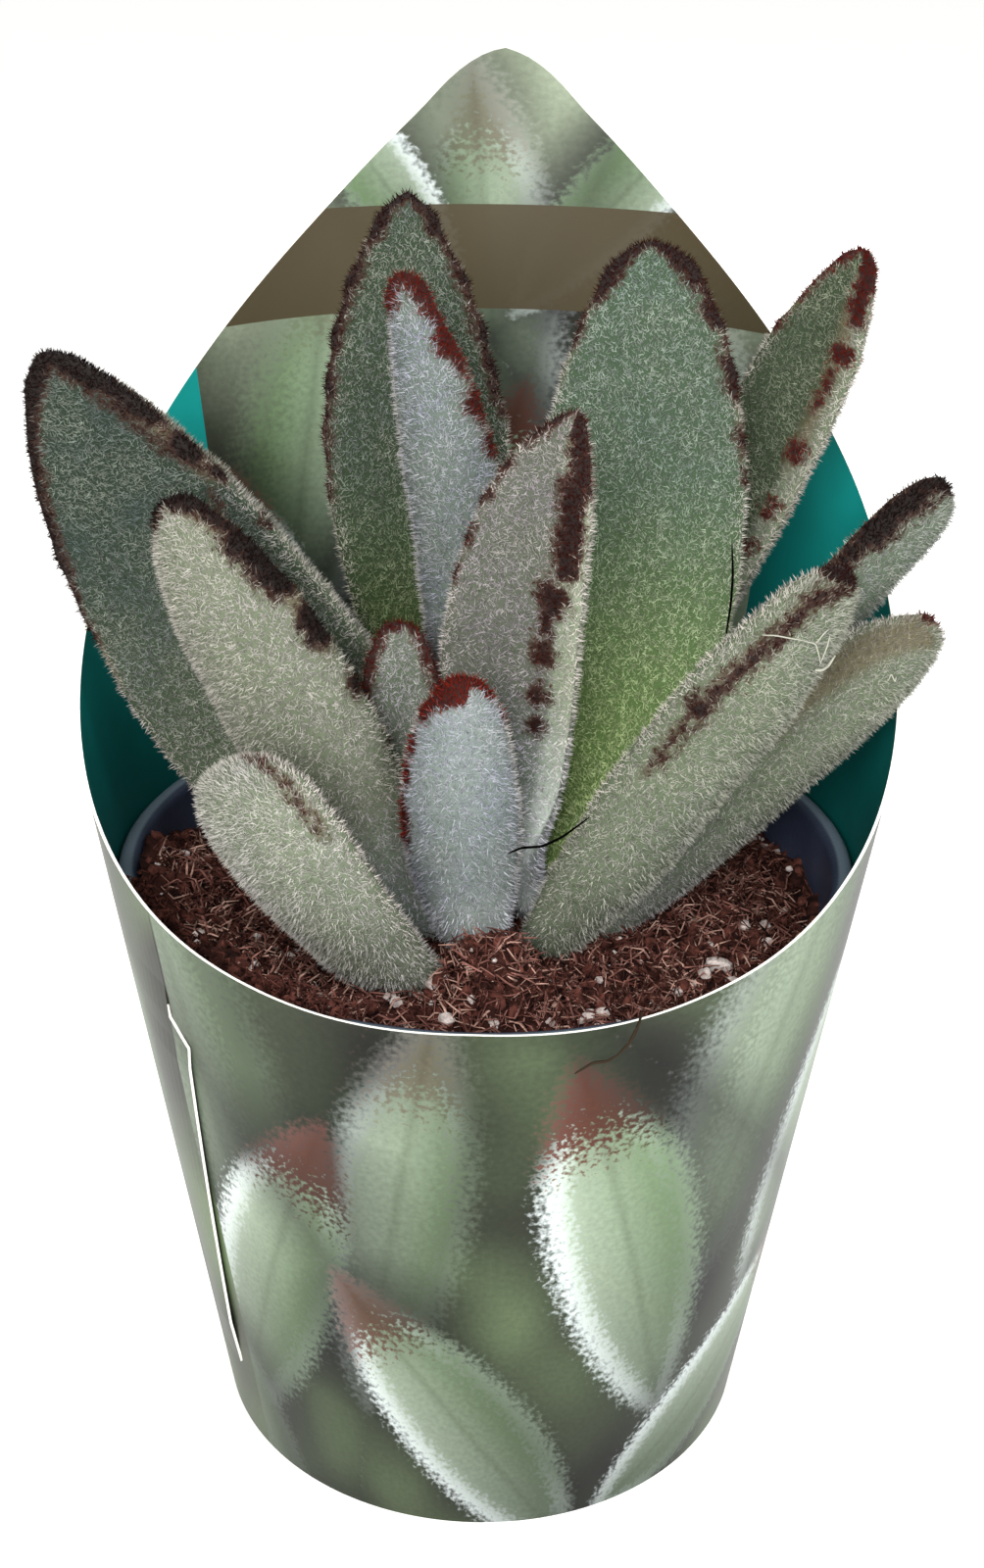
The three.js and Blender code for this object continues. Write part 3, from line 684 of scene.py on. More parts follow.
def leaf_skin(settings):
    """Living skin, seen as green flecks between the hairs: matt, with brown corky marks."""
    material, tree, surface = new_material("Leaf skin", Roughness=0.75, Specular_IOR_Level=0.2)
    bare, stain = (add(tree, FIELD, attribute_name=name).outputs["Fac"] for name in ("bare", "stain"))
    tint = add(tree, FIELD, attribute_name="tint").outputs["Vector"]
    bare = add(tree, RANGE, [bare, -1.0, 1.0])
    depth = add(tree, MIX, [bare, opaque(settings.skin_woolly), opaque(settings.skin)], data_type="RGBA")
    green = add(tree, MIX, [1.0, tint, depth], data_type="RGBA", blend_type="MULTIPLY")
    fleck = lumps(tree, FLECK_CELL, 3.0)
    flecked = [fleck, green, opaque(FLECK_COLOUR)]
    green = add(tree, MIX, flecked, data_type="RGBA", blend_type="SOFT_LIGHT")
    stain = chain(tree, MATHS, stain, ("MULTIPLY", STAIN_STRENGTH))
    green = add(tree, MIX, [stain, green, opaque(settings.stain)], data_type="RGBA")
    colour = marked(tree, green, settings.maroon, settings.rust, settings.edge)
    dress(tree, surface, colour, fleck, 0.2 * MM, 0.5)
    return material


def felt_hair(settings):
    """Plant hairs: dry and matt, pale where they stand free and brown on the marks."""
    material, tree, surface = new_material("Felt hair", Roughness=0.9, Specular_IOR_Level=0.05)
    own, bare, rim, stain = (
        add(tree, FIELD, attribute_name=name).outputs["Fac"] for name in ("tone", "bare", "rim", "stain")
    )
    tint = add(tree, FIELD, attribute_name="tint").outputs["Vector"]
    floor = add(tree, RANGE, [bare, -1.0, 1.0, settings.dimmest_woolly, settings.dimmest])
    clump = add(tree, RANGE, [lumps(tree, TUFT_CELL, 1.0), 0.34, 0.62, floor])
    tone = add(tree, RANGE, [own, 0.0, 1.0, 0.76, 1.0])
    tone = chain(tree, MATHS, tone, ("MULTIPLY", clump))
    patch = add(tree, RANGE, [lumps(tree, PATCH_CELL), 0.35, 0.65, 0.0, 0.3])
    pale = add(tree, MIX, [patch, tint, opaque(PATCH_COLOUR)], data_type="RGBA")
    rim = chain(tree, MATHS, rim, ("MULTIPLY", settings.rim_strength))
    stain = chain(tree, MATHS, stain, ("MULTIPLY", STAIN_STRENGTH))
    for cover, colour in ((rim, settings.rim), (stain, settings.stain)):
        pale = add(tree, MIX, [cover, pale, opaque(colour)], data_type="RGBA")
    pale = add(tree, MIX, [1.0, pale, tone], data_type="RGBA", blend_type="MULTIPLY")
    either = add(tree, RANGE, [own, 0.0, 1.0, -0.7, 0.7])
    brown = (settings.hair_maroon, settings.hair_rust, settings.hair_edge)
    dress(tree, surface, marked(tree, pale, *brown, either, 0.35))
    return material


class LeafSettings(PropertyGroup):
    """Colours of the leaves and sizes of their felt."""

    skin: colour_choice("Skin, Thin Felt", "What the felt colour is multiplied by for skin", "6a7962")
    skin_woolly: colour_choice(
        "Skin, Thick Felt", "What the felt colour is multiplied by for skin", "c0c6bb"
    )
    stain: colour_choice("Stain", "Colour of the soft ochre patches", "56452f")
    rim: colour_choice("Free Hair", "Colour of the hair that stands free along the margins", "d6ccc4")
    rim_strength: share_choice("Free Hair Strength", "How much paler the margins are", 0.55)
    maroon: colour_choice("Maroon Mark", "Skin colour in the middle of dark marks", "130b08")
    rust: colour_choice("Rust Mark", "Skin colour of rusty marks", "2e0b06")
    edge: colour_choice("Mark Edge", "Skin colour at the edge of dark marks", "33201a")
    hair_maroon: colour_choice("Maroon Hair", "Hair colour in the middle of dark marks", "100706")
    hair_rust: colour_choice("Rust Hair", "Hair colour of rusty marks", "641a10")
    hair_edge: colour_choice("Mark Edge Hair", "Hair colour at the edge of dark marks", "3e271e")
    dimmest: share_choice("Dimmest Hair, Thin Felt", "Brightness of the dimmest tufts", 0.5)
    dimmest_woolly: share_choice("Dimmest Hair, Thick Felt", "Brightness of the dimmest tufts", 0.86)
    density: amount_choice("Hair Density", "Hairs on each square metre", 17.4e6, 40e6)
    length: length_choice("Hair Length", "Length of the longest hairs", 0.85, 5)
    thickness: length_choice("Hair Width", "Width of a hair at its root", 0.14, 1)
    lean: amount_choice("Lean", "How far the hairs lean towards the tip", 0.75, 4)
    stray: amount_choice("Stray", "How much the hairs point every way", 1.35, 4)
    seed: seed_choice(20)


class PANDA_OT_leaves(Operator):
    """Build every leaf and its coat of felt"""

    bl_idname = "panda.leaves"
    bl_label = "Leaves"

    def execute(self, context):
        settings = context.scene.panda_leaves
        skin, hair, tree = leaf_skin(settings), felt_hair(settings), felt_tree()
        for number, (name, leaf) in enumerate(LEAVES.items()):
            piece = leaf_object(name + "_skin", leaf, settings.seed + number, skin)
            coat = run_tree(
                piece, tree, name + "_felt",
                {
                    "Density": settings.density, "Length": settings.length,
                    "Width": settings.thickness, "Lean": settings.lean, "Stray": settings.stray,
                    "Seed": settings.seed + number, "Material": hair,
                },
            )
            finish_piece(piece, "leaf_felt", name)
            finish_piece(coat, "leaf_felt")
        return {"FINISHED"}


# ---- Stem ---------------------------------------------------------------------------------
BARK_COLOURS = ("5c4a35", "9a9070")
BARK_CELL = 0.8 * MM  # between the fissures
BARK_STRETCH = (1, 1, 0.3)  # makes the fissures run along the stem


class PANDA_OT_stem(Operator):
    """Give the stem its bark"""

    bl_idname = "panda.stem"
    bl_label = "Stem"

    def execute(self, context):
        # Young bark is dull, grey-brown and finely fissured along the stem.
        material, tree, surface = new_material("Young bark", Roughness=0.85)
        place = add(tree, "ShaderNodeTexCoord").outputs["Object"]
        flat = add(tree, "ShaderNodeMapping", {"Vector": place, "Scale": BARK_STRETCH})
        fissures = {"Vector": flat, "Scale": 1 / BARK_CELL, "Detail": 3.0}
        bark = add(tree, "ShaderNodeTexNoise", fissures)
        colour = add(tree, MIX, [bark, *map(opaque, BARK_COLOURS)], data_type="RGBA")
        dress(tree, surface, colour, bark, 0.3 * MM)
        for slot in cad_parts["stem"].material_slots:
            slot.material = material
        return {"FINISHED"}


# ---- Soil ---------------------------------------------------------------------------------
SOIL_RADIUS = 42.2  # where the soil meets the pot's wall, at its top
SOIL_FOOT_RADIUS = 30.1
SOIL_FOOT = 4.0
SOIL_BANK = 2.0
SOIL_BANK_RADIUS = 16.0
SOIL_RINGS = 72
SOIL_SEGMENTS = 180
SOIL_NOISE = ((9.0, 1.1), (3.2, 0.9), (1.4, 0.55))  # mm between lumps, and their height in mm
SOIL_DISH = (0.6, 30.0, 12.0)  # mm that it sinks by the wall, from what radius and over what width
# Soil banked against the wall: compass angle, height in mm, radius from which it rises, width of
# the slope, and cosine of the angle to each side at which it ends.
WALL_BANK = (203.0, 7.3, 26.0, 16.0, 0.6)
FRONT_HEAP = (np.array([0.3, -25.8]), 8.6, 9.6)  # middle, radius and height of the front heap


def soil_top(x, y):
    """The height of the soil's surface in mm."""
    bank = SOIL_BANK * (1 - smooth(np.hypot(x - CROWN[0], y - CROWN[1]) / SOIL_BANK_RADIUS))
    centre, radius, height = FRONT_HEAP
    heap = height * (1 - smooth(np.hypot(x - centre[0], y - centre[1]) / radius))
    points = np.stack([x, y, np.zeros_like(x)], -1)
    rough = sum(h * value_noise(points, cell, 40 + i) for i, (cell, h) in enumerate(SOIL_NOISE))
    out = np.hypot(x, y)
    sink, start, width = SOIL_DISH
    dish = sink * smooth((out - start) / width)
    angle, height, start, width, end = WALL_BANK
    toward = np.cos(np.arctan2(y, x) - math.radians(angle))
    slope = height * smooth((out - start) / width) * smooth((toward - end) / (1 - end))
    return SOIL_LEVEL + bank + heap + rough + slope - dish


def height_at(x, y):
    """The height of the soil in mm at one place."""
    return soil_top(np.array([x]), np.array([y]))[0]


def soil_object(material):
    """The soil as one closed solid with a rough top."""
    ring = circle(SOIL_SEGMENTS)
    radii = SOIL_RADIUS * (1 - np.arange(SOIL_RINGS) / SOIL_RINGS)
    flat = (radii[:, None, None] * ring[None]).reshape(-1, 2)
    top = np.column_stack([flat, soil_top(flat[:, 0], flat[:, 1])])
    foot = np.column_stack([ring * SOIL_FOOT_RADIUS, np.full(SOIL_SEGMENTS, SOIL_FOOT)])
    rings = np.vstack([foot, top]).reshape(-1, SOIL_SEGMENTS, 3)
    skin = tube(rings, [0, 0, SOIL_FOOT], [0, 0, height_at(0.0, 0.0)])
    piece = mesh_object("potting_soil_body", *skin, [material])
    room = SOIL_RADIUS - np.hypot(flat[:, 0], flat[:, 1])
    store(piece.data, "room", np.concatenate([np.zeros(SOIL_SEGMENTS), room, [0, SOIL_RADIUS]]))
    return piece


def soil_material(name, dark, light, cell, roughness=0.95):
    """Damp peat and coir: dark red-brown, with crumbs that catch little light."""
    material, tree, surface = new_material(name, Roughness=roughness, Specular_IOR_Level=0.12)
    grain = lumps(tree, cell, 4.0)
    pale = add(tree, RANGE, [grain, 0.35, 0.68])
    colour = add(tree, MIX, [pale, opaque(dark), opaque(light)], data_type="RGBA")
    dress(tree, surface, colour, grain, 0.6 * MM)
    return material


def loose_tree():
    """Scatters copies of one small piece over the top of the soil."""
    tree, given = new_tree(
        "Loose Bits",
        {
            "Piece": "Object", "Density": "Float", "Smallest": "Float", "Largest": "Float",
            "Tilt": "Float", "Seed": "Int", "Material": "Material",
        },
    )
    tilt, seed = given["Tilt"], given["Seed"]
    room = add(tree, "GeometryNodeInputNamedAttribute", ["room"], data_type="FLOAT")
    reach = chain(tree, MATHS, given["Largest"], ("MULTIPLY", 0.5))
    free = [room, reach]
    free = add(tree, "FunctionNodeCompare", free, data_type="FLOAT", operation="GREATER_THAN")
    density = chain(tree, MATHS, given["Density"], ("MULTIPLY", free))
    spots = {"Mesh": given["Geometry"], "Density": density, "Seed": seed}
    spots = add(tree, "GeometryNodeDistributePointsOnFaces", spots)
    back = chain(tree, MATHS, tilt, ("MULTIPLY", -1.0))
    low = add(tree, "ShaderNodeCombineXYZ", [back, back, 0.0])
    high = add(tree, "ShaderNodeCombineXYZ", [tilt, tilt, 2 * math.pi])
    turn = add(tree, RANDOM, {"Min": low, "Max": high, "Seed": seed}, data_type="FLOAT_VECTOR")
    size = {"Min": given["Smallest"], "Max": given["Largest"], "Seed": seed}
    size = add(tree, RANDOM, size, data_type="FLOAT")
    piece = add(tree, "GeometryNodeObjectInfo", {"Object": given["Piece"], "As Instance": True})
    piece = piece.outputs["Geometry"]
    copies = {"Points": spots, "Instance": piece, "Rotation": turn, "Scale": size}
    return end_tree(tree, add(tree, INSTANCES, copies), given["Material"])


def fibre_piece(bend):
    """One coir fibre a unit long, three-sided and bent by `bend`, lying along X."""
    steps, sides, radius = 4, 3, 0.033
    t = np.linspace(0, 1, steps)
    line = np.stack([t - 0.5, bend * np.sin(np.pi * t), 0.6 * bend * np.sin(2.2 * np.pi * t)], -1)
    thin = radius * np.sqrt(1 - (2 * t - 1) ** 2 * 0.8)
    ring = np.column_stack([np.zeros(sides), circle(sides)])
    rings = line[:, None] + thin[:, None, None] * ring[None]
    return mesh_object("fibre", *tube(rings, line[0], line[-1]))


def lump_piece(seed, flat, detail):
    """One crumb or grain about a unit across, flattened to the share `flat`."""
    rough, cell = 0.42, 0.45
    shape = bmesh.new()
    bmesh.ops.create_icosphere(shape, subdivisions=detail, radius=0.5)
    points = np.array([v.co for v in shape.verts])
    faces = [[v.index for v in f.verts] for f in shape.faces]
    shape.free()
    points *= (1 + rough * value_noise(points + seed, cell, seed))[:, None]
    points[:, 2] *= flat
    return mesh_object("lump", points, faces, smooth_faces=False)


class SoilSettings(PropertyGroup):
    """Colours of the potting soil and how much lies loose on it."""

    body_dark: colour_choice("Soil, Dark", "Darkest colour of the packed soil", "110504")
    body_light: colour_choice("Soil, Light", "Palest colour of the packed soil", "3b201a")
    peat_dark: colour_choice("Peat, Dark", "Darkest colour of the peat crumbs", "1c0a07")
    peat_light: colour_choice("Peat, Light", "Palest colour of the peat crumbs", "5c352d")
    coir_dark: colour_choice("Coir, Dark", "Darkest colour of the pale fibres", "846257")
    coir_light: colour_choice("Coir, Light", "Palest colour of the pale fibres", "c09c8d")
    brown_dark: colour_choice("Brown Coir, Dark", "Darkest colour of the brown fibres", "42201a")
    brown_light: colour_choice("Brown Coir, Light", "Palest colour of the brown fibres", "90655b")
    perlite_dark: colour_choice("Perlite, Dark", "Darkest colour of the perlite grains", "8f827e")
    perlite_light: colour_choice("Perlite, Light", "Palest colour of the perlite grains", "cfc3be")
    crumbs: amount_choice("Peat Crumbs", "Crumbs on each square metre", 0.42e6, 2e6)
    shreds: amount_choice("Peat Shreds", "Shreds on each square metre", 0.5e6, 2e6)
    coir: amount_choice("Pale Fibres", "Pale fibres on each square metre", 0.5e6, 2e6)
    brown: amount_choice("Brown Fibres", "Brown fibres on each square metre", 0.75e6, 2e6)
    perlite: amount_choice("Perlite Grains", "Small perlite grains on each square metre", 0.05e6, 1e6)
    seed: seed_choice(60)


def loose_kinds(settings):
    """What lies on the soil: piece, amount, smallest and largest in mm, tilt and material."""
    peat = soil_material("Peat crumbs", settings.peat_dark, settings.peat_light, 1.4 * MM)
    coir = soil_material("Coir fibre", settings.coir_dark, settings.coir_light, 2.5 * MM, 0.8)
    brown = soil_material("Brown coir fibre", settings.brown_dark, settings.brown_light, 2.5 * MM, 0.85)
    grain = soil_material("Perlite", settings.perlite_dark, settings.perlite_light, 0.9 * MM, 0.9)
    return {
        "peat_crumbs": (lump_piece(3, 0.75, 1), settings.crumbs, 0.8, 2.1, 1.5, peat),
        "coir_fibres": (fibre_piece(0.2), settings.coir, 2.0, 6.0, 0.6, coir),
        "brown_fibres": (fibre_piece(0.3), settings.brown, 2.4, 6.0, 0.7, brown),
        "peat_shreds": (fibre_piece(0.45), settings.shreds, 2.0, 5.0, 1.0, peat),
        "perlite_grains": (lump_piece(8, 0.85, 1), settings.perlite, 0.4, 1.4, 1.5, grain),
    }


GRAIN_TURN = 67.0  # degrees from one of the largest grains to the next
GRAIN_RISE = 0.3  # share of its size by which a grain's middle stands above the soil
# The largest perlite grains: where they lie and their size in mm.
GRAINS = [
    (27.4, -19.3, 3.0), (28.6, -22.0, 1.6), (25.3, -22.6, 1.6), (22.0, -24.6, 1.5), (-10.7, -26.2, 1.9),
    (-9.9, -28.0, 1.8), (-5.8, -25.4, 2.2), (-4.2, -31.6, 2.0), (11.6, -29.3, 1.6), (13.4, -28.4, 1.6),
    (15.0, -29.0, 1.4), (12.6, -31.4, 1.6), (-26.8, -16.5, 1.7), (-22.7, -20.3, 1.5), (-37.2, -1.4, 1.3),
    (1.2, -32.6, 1.4), (34.0, -8.5, 1.8), (31.0, -11.5, 1.7), (33.5, -14.0, 1.4),
]


def placed_grains(material):
    """The largest perlite grains, each partly sunk in the soil."""
    parts = []
    for number, (x, y, size) in enumerate(GRAINS):
        shape, skin = taken_apart(lump_piece(number + 20, 0.7, 2))
        turn = np.radians(GRAIN_TURN * number)
        level = shape[:, :2] @ np.array([[np.cos(turn), np.sin(turn)], [-np.sin(turn), np.cos(turn)]])
        place = [x, y, height_at(x, y) + GRAIN_RISE * size]
        parts.append((np.column_stack([level * [1, 0.8], shape[:, 2]]) * size + place, skin))
    return mesh_object("perlite_lumps", *joined(parts), [material], smooth_faces=False)


# Bits of soil that lie on the pot's lip: how many, and the smallest and the largest compass
# angle, radius in mm and height above the lip in mm.
SPILLED = 360
SPILL_ANGLES = (193.0, 252.0)
SPILL_RADII = (41.2, 44.0)
SPILL_HEIGHTS = (0.2, 0.9)
SPILL_TILT = (3, 0.3, 3)  # the most that a bit is turned about each axis, in radians


def spilled_bits(material):
    """Peat crumbs and fibres that lie on the pot's lip at the front left."""
    draw = np.random.default_rng(7)
    kinds = []
    for piece, smallest, largest in (
        (lump_piece(3, 0.75, 1), 0.4, 1.1), (fibre_piece(0.4), 1.6, 4.2), (fibre_piece(0.2), 1.2, 3.4)
    ):
        kinds.append((*taken_apart(piece), smallest, largest))
    parts = []
    for number in range(SPILLED):
        shape, skin, smallest, largest = kinds[number % len(kinds)]
        size = draw.uniform(smallest, largest)
        turn = np.array(Euler(draw.uniform(-1, 1, 3) * SPILL_TILT).to_matrix())
        place = compass(draw.uniform(*SPILL_ANGLES))[0] * draw.uniform(*SPILL_RADII)
        place[2] = POT_HEIGHT + draw.uniform(*SPILL_HEIGHTS)
        parts.append((shape @ turn.T * size + place, skin))
    return mesh_object("spilled_bits", *joined(parts), [material], smooth_faces=False)


STRAND_SIDES = 5
STRAND_STEPS = 6  # rings from one place of a strand to the next


def strands(name, lines, radius, material):
    """Thin round strands through lists of places in mm, thinner towards both ends."""
    cosines, sines = circle(STRAND_SIDES).T[..., None]
    parts = []
    for line in lines:
        knots = np.array(line, float)
        share = np.linspace(0, len(knots) - 1, STRAND_STEPS * (len(knots) - 1) + 1)
        path = np.column_stack([np.interp(share, np.arange(len(knots)), k) for k in knots.T])
        path[1:-1] = (path[:-2] + path[1:-1] + path[2:]) / 3
        along = unit(np.gradient(path, axis=0))
        aside = unit(np.cross(along, [0.3, 0.2, 0.9]))
        across = np.cross(along, aside)
        thin = radius * np.sqrt(1 - 0.85 * np.linspace(-1, 1, len(path)) ** 2)
        ring = aside[:, None] * cosines + across[:, None] * sines
        rings = path[:, None] + thin[:, None, None] * ring
        parts.append(tube(rings, path[0], path[-1]))
    return mesh_object(name, *joined(parts), [material])


STRAY_COLOURS = {"Dark hair": "040303", "Dry rootlet": "2c241c", "Spider silk": "96968a"}
# Stray strands: what each is, its slot, its radius in mm and the places that it passes through.
STRAYS = {
    "dark_hairs": ("Dark hair", "potting_mix", 0.16, [
        [
            (2.4, -25.8, 89.2), (3.9, -25.9, 90.0), (6.2, -26.1, 90.3), (8.4, -26.3, 91.6),
            (11.2, -26.3, 94.0),
        ],
        # A dark strand drawn down the dark line between two leaves.
        [(28.2, 1.0, 116.0), (28.5, 0.8, 112.4), (28.4, 0.2, 108.7), (28.0, 0.0, 104.5)],
    ]),
    "twig": ("Dry rootlet", "potting_mix", 0.18, [
        [(16.6, -42.6, 79.6), (15.9, -45.3, 79.3), (15.1, -45.1, 77.1), (13.7, -45.4, 75.6)],
        [(14.0, -45.3, 75.9), (12.9, -45.7, 75.3), (11.4, -45.7, 75.1), (9.5, -46.1, 74.0)],
    ]),
    "web_threads": ("Spider silk", "leaf_felt", 0.08, [
        [(28.5, -26.6, 115.5), (29.8, -27.2, 115.7), (31.4, -27.2, 115.4), (32.9, -27.1, 115.1)],
        [(32.8, -27.1, 115.1), (34.1, -26.9, 114.7), (34.6, -26.6, 113.3), (34.9, -26.3, 112.2)],
        [(34.1, -26.9, 114.7), (34.9, -26.6, 115.7), (35.5, -26.0, 116.0)],
        [(35.7, -25.9, 115.3), (35.5, -25.9, 114.0), (34.8, -26.3, 112.0)],
        [(45.1, -12.3, 104.6), (45.4, -12.1, 105.4), (45.9, -12.2, 104.4), (46.0, -12.0, 105.0)],
    ]),
    "web_fluff": ("Spider silk", "leaf_felt", 0.18, [
        [(34.3, -26.6, 111.6), (35.2, -26.0, 111.4), (36.0, -24.6, 111.3), (36.8, -23.8, 112.2)],
    ]),
}
HEAP_FIBRES = (26, 0.13)  # how many fibres stand out of the front heap, and their radius
HEAP_SPREAD = 3.2  # mm
HEAP_FIBRE_LENGTHS = (2.5, 6)  # mm
HEAP_FIBRE_SINK = 0.8  # mm that a fibre's foot is in the soil
HEAP_AIM = ([0, -0.2, 0.7], [1, 0.7, 0.6])  # the way that the fibres stand, and how far they stray


def heap_fibres(material):
    """Coir fibres that stand out of the front heap every way."""
    draw = np.random.default_rng(5)
    count, radius = HEAP_FIBRES
    lines = []
    for _ in range(count):
        x, y = FRONT_HEAP[0] + draw.normal(0, HEAP_SPREAD, 2)
        foot = np.array([x, y, height_at(x, y) - HEAP_FIBRE_SINK])
        aim = unit(draw.normal(0, 1, 3) * HEAP_AIM[1] + HEAP_AIM[0])
        end = foot + aim * draw.uniform(*HEAP_FIBRE_LENGTHS)
        lines.append([foot, (foot + end) / 2 + draw.normal(0, 0.5, 3), end])
    return strands("heap_fibres", lines, radius, material)


class PANDA_OT_strays(Operator):
    """Build the stray hairs, the twig and the web threads"""

    bl_idname = "panda.strays"
    bl_label = "Stray Bits"

    def execute(self, context):
        # A dark animal or brush hair, a dry rootlet and spider silk: all dull and thin.
        kinds = {
            name: new_material(name, Base_Color=opaque(code), Roughness=0.9, Specular_IOR_Level=0.0)[0]
            for name, code in STRAY_COLOURS.items()
        }
        for name, (kind, slot, radius, lines) in STRAYS.items():
            finish_piece(strands(name, lines, radius, kinds[kind]), slot)
        return {"FINISHED"}


class PANDA_OT_soil(Operator):
    """Build the potting soil and what lies loose on it"""

    bl_idname = "panda.soil"
    bl_label = "Soil"

    def execute(self, context):
        settings = context.scene.panda_soil
        mix_kind = soil_material("Potting mix", settings.body_dark, settings.body_light, 1.6 * MM)
        body = soil_object(mix_kind)
        tree = loose_tree()
        placed = {
            "peat_crumbs": spilled_bits, "brown_fibres": heap_fibres, "perlite_grains": placed_grains,
        }
        for number, (name, kind) in enumerate(loose_kinds(settings).items()):
            piece, density, smallest, largest, tilt, material = kind
            layer = run_tree(
                body, tree, name,
                {
                    "Piece": piece, "Density": density, "Smallest": smallest, "Largest": largest,
                    "Tilt": tilt, "Seed": settings.seed + number, "Material": material,
                },
            )
            bpy.data.objects.remove(piece)
            finish_piece(layer, "potting_mix")
            if name in placed:
                finish_piece(placed[name](material), "potting_mix")
        finish_piece(body, "potting_mix", "potting_soil")
        return {"FINISHED"}


# ---- Nursery pot --------------------------------------------------------------------------
POT_HEIGHT = 77.0
POT_LIP_RADIUS = 45.0
POT_LIP_FOOT_RADIUS = 44.5
POT_LIP_WIDTH = 2.6
POT_LIP_DEPTH = 4.0
POT_WALL_TOP_RADIUS = 43.0
POT_FOOT_RADIUS = 31.0
POT_PAD_RADIUS = 9.0
POT_FOOT_WIDTH = 4.0
POT_DRAIN_SLOPE = 1.5
POT_SEGMENTS = 128


class PotSettings(PropertyGroup):
    """Colours and sizes of the nursery pot."""

    dark: colour_choice("Plastic, Dark", "Darkest colour of the plastic", "1b2030")
    light: colour_choice("Plastic, Light", "Palest colour of the plastic", "363f54")
    # The lip colour is a painted highlight along the lip's edge.
    lip: colour_choice("Lip Edge", "Colour of the lip's edge, where light comes through", "5d6a76")
    wall: length_choice("Wall", "Thickness of the wall and of the base", 1.0, 3.0)
    hollow: length_choice("Base Hollow", "Height of the drained hollow under the base", 2.2, 10)


def pot_plastic(settings):
    """Injection-moulded polypropylene: blue-black, waxy, with a fine grain from the mould.

    The lip's edge is a painted highlight: paler and bluer than the rest of the plastic.
    """
    material, tree, surface = new_material("Pot polypropylene", Roughness=0.42)
    place = add(tree, "ShaderNodeTexCoord").outputs["Object"]
    out = chain(tree, VECTORS, place, ("MULTIPLY", (1, 1, 0)), ("LENGTH",))
    # Painted highlight: the outer ring of the lip takes the paler lip colour.
    lit = add(tree, RANGE, [out, (POT_LIP_RADIUS - 2.0) * MM, (POT_LIP_RADIUS - 1.6) * MM])
    clouds = lumps(tree, 6 * MM, 3.0)
    plastic = add(tree, MIX, [clouds, opaque(settings.dark), opaque(settings.light)], data_type="RGBA")
    colour = add(tree, MIX, [lit, plastic, opaque(settings.lip)], data_type="RGBA")
    dress(tree, surface, colour, lumps(tree, 0.5 * MM), 0.05 * MM)
    return material


class PANDA_OT_pot(Operator):
    """Build the nursery pot"""

    bl_idname = "panda.pot"
    bl_label = "Nursery Pot"

    def execute(self, context):
        settings = context.scene.panda_pot
        wall, hollow = settings.wall / MM, settings.hollow / MM
        lip_foot = POT_HEIGHT - POT_LIP_DEPTH
        inner = POT_LIP_RADIUS - POT_LIP_WIDTH
        floor = hollow + wall
        foot_inner = POT_FOOT_RADIUS - POT_FOOT_WIDTH
        lip = [
            (POT_LIP_RADIUS, -1.0), (POT_LIP_RADIUS - 0.15, -0.45), (POT_LIP_RADIUS - 0.5, -0.1),
            (POT_LIP_RADIUS - 1, 0), (inner + 0.5, -0.1), (inner + 0.1, -0.5), (inner, -1.2),
        ]
        profile = [
            (POT_PAD_RADIUS, 0), (POT_PAD_RADIUS + POT_DRAIN_SLOPE, hollow),
            (foot_inner - POT_DRAIN_SLOPE, hollow), (foot_inner, 0), (POT_FOOT_RADIUS, 0),
            (POT_WALL_TOP_RADIUS, lip_foot), (POT_LIP_FOOT_RADIUS, lip_foot),
            *((radius, POT_HEIGHT + below) for radius, below in lip),
            (POT_WALL_TOP_RADIUS - wall, lip_foot), (POT_FOOT_RADIUS - wall, floor),
        ]
        ring = circle(POT_SEGMENTS)
        rings = [np.column_stack([r * ring, np.full(POT_SEGMENTS, z)]) for r, z in profile]
        skin = tube(np.stack(rings), [0, 0, 0], [0, 0, floor])
        piece = mesh_object("nursery_pot_shell", *skin, [pot_plastic(settings)])
        piece.data.set_sharp_from_angle(angle=SHARP)
        finish_piece(piece, "pot_plastic", "nursery_pot")
        return {"FINISHED"}


# ---- Card sleeve --------------------------------------------------------------------------
SLEEVE_TURN = -1.3
SLEEVE_COLUMNS = 240
SLEEVE_LEVELS = 28
# The rim's height in mm at each angle from its lowest point.
RIM = [
    (0, 78.5), (30, 79.6), (60, 85.6), (90, 98.4), (120, 118.2), (150, 140.6), (168, 156), (176, 163),
    (180, 164.6),
]
RIM_TOP = 170.0  # height that 1 stands for in the rim's curve
LAP_SINK = 0.02
LAP_START = -70.0
# The free edge of the lap: height in mm, angle from the front, and whether it stands off there.
LAP_EDGE = [
    (12.5, -57, 0.3), (20, -55.8, 1), (43, -52, 1), (63, -48.8, 0.9), (66, -48.3, 0.6), (68.7, -52.5, 0.4),
    (73, -52.5, 0), (84, -52.5, 0),
]
LAP_SLIT = 69.0  # above this height the edge is tucked in and shows no white pulp
LAP_COLUMNS = 12
LAP_ROWS = 40
MM_PER_DEGREE = 0.73  # along the card at half height
BAND_FOOT = 131.5  # mm up the inner back, where the plain band lies across the picture
BAND_TOP = 145.0
BAND_COVER = 0.96  # how much of the picture the band hides
PANEL_HALF = 46 * MM_PER_DEGREE  # mm from the middle of the back to the picture's edges
LAP_CUT = -52  # angle from the front at which the outer print starts and ends
# Darkening over the print: from and to which height in mm, and how bright it is there. The outer face gets
# darker towards its foot; on the lining it is painted shade, darker towards the soil.
FOOT_SHADE = (0.0, 45.0, 0.62, 1.0)
LINING_SHADE = (78.0, 124.0, 0.3, 1.0)


